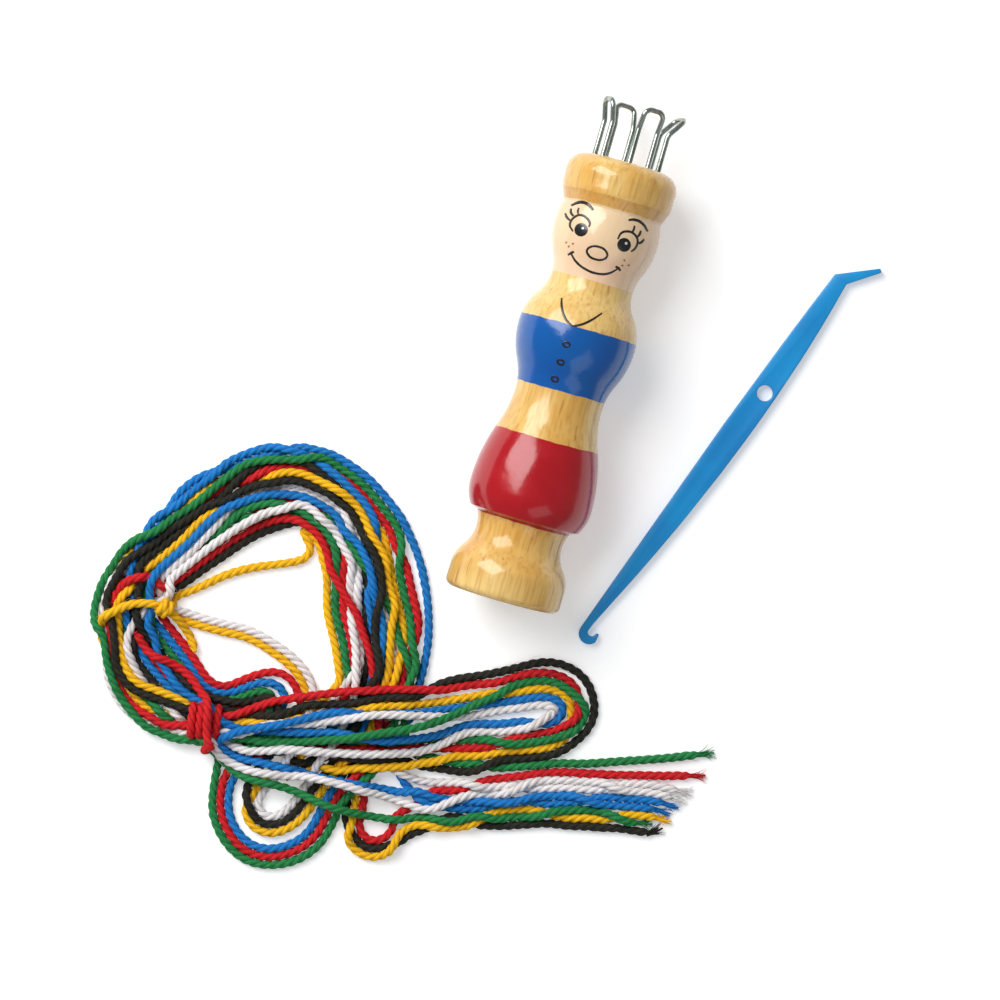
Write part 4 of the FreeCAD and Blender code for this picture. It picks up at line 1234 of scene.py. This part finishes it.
@dataclass
class Hank:
    """The tied hank of six colours."""

    route: HankRoute = HankRoute()
    settling: Settling = field(default_factory=Settling)
    seed: int = 11
    sway: float = 2.0
    lift: float = 5.0
    knot: float = 34.0
    calm_end: float = 4.0
    calm_reach: float = 45.0
    lengths: tuple[tuple[str, float], ...] = (
        ("yellow", 759.0), ("black", 789.0), ("red", 821.0), ("white", 970.0), ("blue", 1020.0),
        ("green", 1070.0), ("yellow_tie", 41.0), ("red_tie", 42.0))

    def loose(self, line: np.ndarray, rng: np.random.Generator, share: float) -> np.ndarray:
        """A strand that wanders off its place in the ribbon, over and under its neighbours.

        Args:
            line: The strand's places.
            rng: The seeded source of numbers.
            share: How freely it wanders.

        Returns:
            The wandering strand.
        """
        count = len(line)
        way = np.gradient(line[:, :2], axis=0)
        way /= np.linalg.norm(way, axis=1)[:, None] + 1e-9
        from_end = np.minimum(np.arange(count), np.arange(count)[::-1]) * self.settling.spacing
        calm = np.clip((from_end - self.calm_end) / self.calm_reach, 0.15, 1.0) * share
        slow, quick = soft_noise(rng, count, self.knot), soft_noise(rng, count, self.knot / 2.6)
        sway = (slow + 0.35 * quick) * self.sway
        moved = line.copy()
        moved[:, 0] -= way[:, 1] * sway * calm
        moved[:, 1] += way[:, 0] * sway * calm
        moved[:, 2] += (soft_noise(rng, count, self.knot * 1.3) + 1.0) * 0.5 * self.lift * calm
        return moved

    def lines(self) -> dict[str, np.ndarray]:
        """Each strand's settled line, in millimetres."""
        rng = np.random.default_rng(self.seed)
        names, strands = [], []
        for dye in Dye:
            line = spline_line(self.route.strand_points(dye), self.settling.spacing)
            names.append("yarn_" + dye.value)
            strands.append(self.loose(line, rng, 1.0))
        for name, way in (("yellow_tie", self.route.yellow_tie), ("red_tie", self.route.red_tie)):
            line = spline_line(self.route.tie_points(way), self.settling.spacing)
            line[:, 2] += self.lift + 1.5
            names.append(name)
            strands.append(line)
        settled = self.settling.run(strands)
        LOG.info("the hank stands %.1f mm high", max(line[:, 2].max() for line in settled) + 1.0)
        return dict(zip(names, settled))

    @staticmethod
    def knots(lines: dict[str, np.ndarray], tube: YarnTube, finishes: dict) -> dict[str, bpy.types.Object]:
        """The red tie's turns round the hank and the yellow tie's small knot.

        Args:
            lines: The settled strands.
            tube: How yarn is made.
            finishes: The yarns' materials by colour.

        Returns:
            Each tie's knot by the tie's node.
        """
        held = [line for name, line in lines.items() if not name.endswith("_tie")]
        ways = {"red_tie": ("red_tie_turns", TieTurns().line(held), 71),
                "yellow_tie": ("yellow_tie_knot", SmallKnot().line(lines["yellow_tie"]), 72)}
        made = {node: tube.build(name, way, finishes[node.split("_")[0]], seed, (False, False))
                for node, (name, way, seed) in ways.items()}
        for node, knot in made.items():
            finish_piece(knot, Body.YARN, node.split("_")[0] + "_yarn")
        return made

    def build(self) -> None:
        """Makes every yarn and tie, hangs each on the yarn's body and hides the CAD node that it replaces."""
        tube = YarnTube()
        finishes = {dye.value: YARN_FINISHES[dye].material() for dye in Dye}
        lines = self.lines()
        knots = self.knots(lines, tube, finishes)
        for number, (node, line) in enumerate(lines.items()):
            tie = node.endswith("_tie")
            colour = node.split("_")[0] if tie else node.split("_")[1]
            first_half = colour in ("yellow", "black", "red")
            made = tube.build(node + "_twisted", line, finishes[colour], 40 + number,
                              (not tie, not tie and not first_half))
            finish_piece(made, Body.YARN, colour + "_yarn", node)


@dataclass
class TurnedBody:
    """The doll's turned body: radii, and heights above the foot."""

    steps: int = 112
    arc_steps: int = 9
    axis_h: float = 14.0
    base: tuple[float, float] = (13.2, 5.2)
    base_edge: float = 1.8
    foot_waist: tuple[float, float] = (9.9, 14.3)
    hem_inner: tuple[float, float] = (10.7, 18.0)
    hem: tuple[float, float] = (12.5, 18.7)
    skirt: tuple[float, float] = (14.0, 24.0)
    waist: tuple[float, float] = (10.0, 46.3)
    chest: tuple[float, float] = (13.4, 60.9)
    neck: tuple[float, float] = (9.4, 73.0)
    head: tuple[float, float] = (11.9, 84.4)
    brow: tuple[float, float] = (11.2, 89.3)
    cap_rim: tuple[float, float] = (12.0, 91.6)
    cap_low: tuple[float, float] = (12.55, 93.6)
    cap_side: tuple[float, float] = (12.55, 95.6)
    cap_dome: tuple[float, float] = (11.556, 99.3)
    cap_flat: tuple[float, float] = (9.0, 100.6)
    turns: tuple[float, ...] = (0.50, 0.62, 0.42, 0.60, 0.42)
    bore_r: float = 4.5
    bore_edge: float = 0.8

    def arc(self, start: tuple, end: tuple, centre: tuple) -> list[tuple[float, float]]:
        """Places on an arc after its start, up to its end."""
        first = math.atan2(start[1] - centre[1], start[0] - centre[0])
        last = math.atan2(end[1] - centre[1], end[0] - centre[0])
        sweep = (last - first + math.pi) % (FULL_TURN) - math.pi
        radius = math.dist(start, centre)
        rows = []
        for k in range(1, self.arc_steps + 1):
            turn = first + sweep * k / self.arc_steps
            rows.append((centre[0] + radius * math.cos(turn), centre[1] + radius * math.sin(turn)))
        return rows

    @staticmethod
    def arc_radius(start: tuple, end: tuple) -> float:
        """The radius of an arc that is upright at one of its ends."""
        rise, run = end[1] - start[1], end[0] - start[0]
        return (rise * rise + run * run) / (2 * abs(run))

    def swelling(self, start: tuple, end: tuple, share: float) -> list[tuple[float, float]]:
        """Two arcs, one hollow and one full, that meet at a share of the chord."""
        joint = (start[0] + (end[0] - start[0]) * share, start[1] + (end[1] - start[1]) * share)
        side = math.copysign(1.0, end[0] - start[0])
        low = (start[0] + side * self.arc_radius(start, joint), start[1])
        high = (end[0] - side * self.arc_radius(joint, end), end[1])
        return self.arc(start, joint, low) + self.arc(joint, end, high)

    def bulge(self, start: tuple, end: tuple, fixed: tuple) -> list[tuple[float, float]]:
        """An arc that is upright at one of its ends."""
        return self.arc(start, end, (fixed[0] - self.arc_radius(start, end), fixed[1]))

    def outline(self) -> list[tuple[float, float]]:
        """The outside from the foot face to the cap's flat, as radii and heights."""
        base_r, base_top = self.base
        edge = self.base_edge
        rows = [(base_r - edge, 0.0)]
        rows += self.arc(rows[0], (base_r, edge), (base_r - edge, edge)) + [(base_r, base_top)]
        rows += self.swelling((base_r, base_top), self.foot_waist, self.turns[0])
        across, up = self.hem_inner[0] - self.foot_waist[0], self.hem_inner[1] - self.foot_waist[1]
        flare_r = (across * across + up * up) / (2 * across)
        rows += self.arc(self.foot_waist, self.hem_inner, (self.foot_waist[0] + flare_r, self.foot_waist[1]))
        rows += [self.hem] + self.bulge(self.hem, self.skirt, self.skirt)
        rows += self.swelling(self.skirt, self.waist, self.turns[1])
        rows += self.swelling(self.waist, self.chest, self.turns[2])
        rows += self.swelling(self.chest, self.neck, self.turns[3])
        rows += self.swelling(self.neck, self.head, self.turns[4])
        rows += self.bulge(self.head, self.brow, self.head) + [self.cap_rim]
        rows += self.bulge(self.cap_rim, self.cap_low, self.cap_low) + [self.cap_side]
        rows += self.arc(self.cap_side, self.cap_flat, self.dome_centre())
        return rows

    def dome_centre(self) -> tuple[float, float]:
        """The centre of the cap's rounding."""
        (ax, ay), (bx, by), (cx, cy) = self.cap_side, self.cap_dome, self.cap_flat
        d = 2 * (ax * (by - cy) + bx * (cy - ay) + cx * (ay - by))
        x = ((ax**2 + ay**2) * (by - cy) + (bx**2 + by**2) * (cy - ay) + (cx**2 + cy**2) * (ay - by)) / d
        y = ((ax**2 + ay**2) * (cx - bx) + (bx**2 + by**2) * (ax - cx) + (cx**2 + cy**2) * (bx - ax)) / d
        return x, y

    def radius_at(self, height: float) -> float:
        """The outside radius at a height above the foot."""
        rows = sorted((h, r) for r, h in self.outline())
        return float(np.interp(height, [h for h, _ in rows], [r for _, r in rows]))

    def build(self, material: bpy.types.Material) -> bpy.types.Object:
        """Turns the body from its outline.

        Args:
            material: The varnished and painted wood.

        Returns:
            The body.
        """
        top, inner = self.cap_flat[1], self.bore_r
        rows = self.outline()
        rows += [(inner + self.bore_edge, top), (inner, top - self.bore_edge), (inner, self.bore_edge),
                 (inner + self.bore_edge, 0.0), rows[0]]
        axis = Vector((FOOT.x, FOOT.y, self.axis_h)) * MM
        places = [axis + Vector((r, h, 0.0)) * MM for r, h in rows]
        leave_edit_mode()
        bpy.ops.mesh.primitive_plane_add(size=0.001, location=places[0])
        made = bpy.context.object
        made.name = "turned_body"
        bpy.ops.object.mode_set(mode="EDIT")
        bpy.ops.mesh.select_all(action="SELECT")
        bpy.ops.mesh.merge(type="CENTER")
        for before, after in zip(places, places[1:]):
            bpy.ops.mesh.extrude_region_move(TRANSFORM_OT_translate={"value": after - before})
        bpy.ops.mesh.select_all(action="SELECT")
        bpy.ops.mesh.spin(steps=self.steps, angle=FULL_TURN, center=axis, axis=(0.0, 1.0, 0.0))
        bpy.ops.mesh.select_all(action="SELECT")
        bpy.ops.mesh.remove_doubles(threshold=1e-6)
        bpy.ops.mesh.normals_make_consistent(inside=False)
        bpy.ops.object.mode_set(mode="OBJECT")
        settle_transform(made)
        bpy.ops.object.shade_smooth_by_angle(angle=math.radians(32))
        dress(made, material)
        return made


@dataclass
class Face:
    """The printed face, collar and buttons: places across the doll and above its foot."""

    body: TurnedBody
    line_r: float = 0.27
    proud: float = 0.05
    aside: float = 0.30
    strokes: tuple[tuple[tuple[tuple[float, float], ...], float, bool], ...] = (
        (((-9.4, 88.1), (-7.8, 89.2), (-6.2, 89.3), (-4.4, 88.3)), 1.35, False),
        (((3.6, 88.3), (5.1, 88.8), (7.0, 88.4), (8.4, 87.2)), 1.25, False),
        (((-7.4, 82.6), (-8.5, 83.9), (-8.0, 85.7), (-6.8, 86.5), (-5.3, 86.2), (-4.35, 85.3), (-4.3, 84.4)),
         1.0, False),
        (((2.5, 83.6), (2.9, 85.1), (4.0, 85.8), (5.5, 85.8), (6.8, 84.6), (6.8, 83.0), (6.1, 81.8)),
         1.0, False),
        (((-10.2, 86.1), (-9.6, 85.3), (-8.7, 84.8)), 1.15, False),
        (((-9.25, 87.4), (-9.0, 86.5), (-8.25, 85.9)), 1.15, False),
        (((-7.6, 88.0), (-7.6, 87.2), (-7.3, 86.5)), 1.0, False),
        (((5.24, 87.5), (5.3, 86.7), (5.18, 86.0)), 1.0, False),
        (((6.9, 86.9), (6.85, 86.1), (6.5, 85.25)), 1.15, False),
        (((8.1, 85.3), (7.8, 84.6), (7.2, 84.0)), 1.15, False),
        (((1.3, 79.44), (0.62, 80.43), (-1.0, 80.84), (-2.62, 80.43), (-3.3, 79.44), (-2.62, 78.45),
          (-1.0, 78.04), (0.62, 78.45)), 0.95, True),
        (((-6.6, 77.9), (-4.9, 76.4), (-2.5, 75.4), (0.1, 75.15), (2.5, 75.8), (4.3, 77.4)), 1.0, False),
        (((-7.1, 77.4), (-6.5, 77.95), (-6.0, 78.4)), 1.2, False),
        (((3.7, 77.8), (4.4, 77.6), (5.0, 77.2)), 1.2, False),
        (((-5.8, 67.9), (-5.3, 66.2), (-4.3, 64.4), (-3.0, 63.1), (-1.75, 62.55)), 1.0, False),
        (((-1.85, 62.5), (-0.3, 63.2), (1.6, 64.7), (3.7, 67.1)), 1.0, False))
    buttons: tuple[tuple[float, float], ...] = ((-1.96, 58.3), (-2.1, 54.2), (-2.3, 50.3))
    button_size: tuple[float, float] = (0.72, 0.52)
    pupils: tuple[tuple[float, float, float], ...] = ((-5.8, 83.4, 1.48), (4.2, 82.8, 1.52))
    freckles: tuple[tuple[float, float], ...] = (
        (-8.2, 79.9), (-6.7, 80.0), (-7.4, 79.2), (5.2, 79.6), (5.1, 78.4), (6.4, 78.85))

    def wrap(self, obj: bpy.types.Object) -> None:
        """Lays a flat drawn piece on the doll's front and puts it in the row frame.

        Args:
            obj: A mesh whose x is the distance across, y the height above the foot and z its thickness.
        """
        for vertex in obj.data.vertices:
            across, along, thick = vertex.co
            across += self.aside
            radius = self.body.radius_at(along)
            out = math.sqrt(max(radius * radius - across * across, 0.0))
            lean = Vector((across, 0.0, out)).normalized()
            place = Vector((FOOT.x + across, FOOT.y + along, self.body.axis_h + out)) + lean * thick
            vertex.co = place * MM
        obj.data.update()

    def stroke(self, name: str, points: tuple, thick: float, closed: bool) -> bpy.types.Object:
        """One printed line, a little thinner at its ends.

        Args:
            name: The line's name.
            points: The places that it passes.
            thick: Its thickness as a share of the usual one.
            closed: Whether it comes back to its start.

        Returns:
            The line as a flat mesh.
        """
        curve = bpy.data.curves.new(name, "CURVE")
        curve.dimensions = "3D"
        curve.resolution_u, curve.bevel_resolution = 10, 2
        curve.bevel_depth = self.line_r
        curve.use_fill_caps = True
        spline = curve.splines.new("BEZIER")
        spline.bezier_points.add(len(points) - 1)
        spline.use_cyclic_u = closed
        for i, (point, place) in enumerate(zip(spline.bezier_points, points)):
            point.co = (*place, 0.0)
            point.handle_left_type = point.handle_right_type = "AUTO"
            at_end = not closed and i in (0, len(points) - 1)
            point.radius = thick * (0.72 if at_end else 1.0)
        made = placed(name, mesh_of(curve))
        for vertex in made.data.vertices:
            vertex.co.z *= self.proud / self.line_r
        return made

    def spot(self, name: str, across: float, along: float, radius: float, proud: float) -> bpy.types.Object:
        """A flat round spot of ink.

        Args:
            name: The spot's name.
            across: Its place across the doll.
            along: Its height above the foot.
            radius: Its radius.
            proud: How far its middle stands off the surface.

        Returns:
            The spot as a flat mesh.
        """
        leave_edit_mode()
        bpy.ops.mesh.primitive_uv_sphere_add(segments=32, ring_count=16, radius=radius,
                                             location=(across, along, 0.0))
        made = bpy.context.object
        made.name = name
        bpy.ops.object.mode_set(mode="EDIT")
        bpy.ops.mesh.select_all(action="SELECT")
        bpy.ops.transform.resize(value=(1.0, 1.0, proud / radius), center_override=(across, along, 0.0))
        bpy.ops.object.mode_set(mode="OBJECT")
        settle_transform(made)
        return made

    def gather(self, parts: list[bpy.types.Object], name: str,
               material: bpy.types.Material) -> bpy.types.Object:
        """Lays drawn pieces on the doll and makes them one object.

        Args:
            parts: The flat pieces.
            name: The object's name.
            material: Its ink.

        Returns:
            The object.
        """
        for part in parts:
            self.wrap(part)
        take(parts[0])
        for part in parts:
            part.select_set(True)
        bpy.ops.object.join()
        made = bpy.context.object
        made.name = name
        made.data.materials.clear()
        dress(made, material)
        take(made)
        bpy.ops.object.shade_smooth()
        finish_piece(made, Body.DOLL, "varnished_wood")
        return made

    def build(self) -> None:
        """Draws the face, the collar and the buttons."""
        ink = InkFinish().material()
        parts = [self.stroke(f"line_{i}", *stroke) for i, stroke in enumerate(self.strokes)]
        self.gather(parts, "face_lines", ink)
        wide, high = self.button_size
        rings = []
        for i, (across, along) in enumerate(self.buttons):
            places = tuple((across + wide * math.cos(t), along + high * math.sin(t))
                           for t in np.linspace(0.0, FULL_TURN, 9)[:-1])
            rings.append(self.stroke(f"button_{i}", places, 0.95, True))
        pupils = [self.spot(f"pupil_{i}", *pupil, 0.07) for i, pupil in enumerate(self.pupils)]
        glints = [self.spot(f"glint_{i}", across + 0.30, along + 0.42, 0.36, 0.12)
                  for i, (across, along, radius) in enumerate(self.pupils)]
        dots = [self.spot(f"freckle_{i}", *place, 0.24, 0.04) for i, place in enumerate(self.freckles)]
        for parts, name, finish in (
                (rings, "bodice_buttons", InkFinish("button_line", (16, 22, 44), (20, 40, 84))),
                (pupils, "pupils", InkFinish("pupil_black", (8, 7, 7), (18, 16, 15))),
                (glints, "eye_glints", InkFinish("glint_white", (236, 234, 230), (212, 208, 204))),
                (dots, "freckles", InkFinish("freckle_brown", (148, 104, 70), (176, 132, 96)))):
            self.gather(parts, name, finish.material())


@dataclass
class StitchTool:
    """The flat plastic tool, with the softened edges of a moulding."""

    edge: float = 0.24
    edge_angle: float = 40.0

    def build(self) -> None:
        """Softens a copy of the tool's plain solid and dresses it."""
        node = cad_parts["stitch_tool"]
        leave_edit_mode()
        made = placed("moulded_stitch_tool", node.data.copy())
        take(made)
        bpy.ops.object.mode_set(mode="EDIT")
        bpy.ops.mesh.select_all(action="SELECT")
        bpy.ops.mesh.remove_doubles(threshold=1e-6)
        bpy.ops.mesh.normals_make_consistent(inside=False)
        bpy.ops.mesh.dissolve_limited(angle_limit=math.radians(1.0))
        bpy.ops.object.mode_set(mode="OBJECT")
        rounding = made.modifiers.new("edge", "BEVEL")
        rounding.width = self.edge * MM
        rounding.segments = 3
        rounding.limit_method = "ANGLE"
        rounding.angle_limit = math.radians(self.edge_angle)
        rounding.use_clamp_overlap = False
        bpy.ops.object.modifier_apply(modifier=rounding.name)
        bpy.ops.object.shade_smooth_by_angle(angle=math.radians(35))
        made.data.materials.clear()
        dress(made, PlasticFinish().material())
        finish_piece(made, Body.TOOL, "tool_plastic", "stitch_tool")


@dataclass
class KnittingDoll:
    """The doll with its face and its wire loops."""

    loops: tuple[str, ...] = ("wire_loop_front", "wire_loop_left", "wire_loop_back", "wire_loop_right")

    def build(self) -> None:
        """Turns, paints and dresses the doll."""
        body = TurnedBody()
        finish_piece(body.build(DollFinish().material()), Body.DOLL, "varnished_wood", "doll_body")
        Face(body).build()
        steel = SteelFinish().material()
        for name in self.loops:
            dress(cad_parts[name], steel)
            LOG.info("%s keeps its solid and takes the wire finish", name)


def main() -> None:
    """Builds the studio, the hank, the doll and the tool, in that order."""
    logging.basicConfig(level=logging.INFO, format="%(message)s")
    Studio().build()
    Hank().build()
    KnittingDoll().build()
    StitchTool().build()
    leave_edit_mode()


if __name__ == "__main__":
    main()
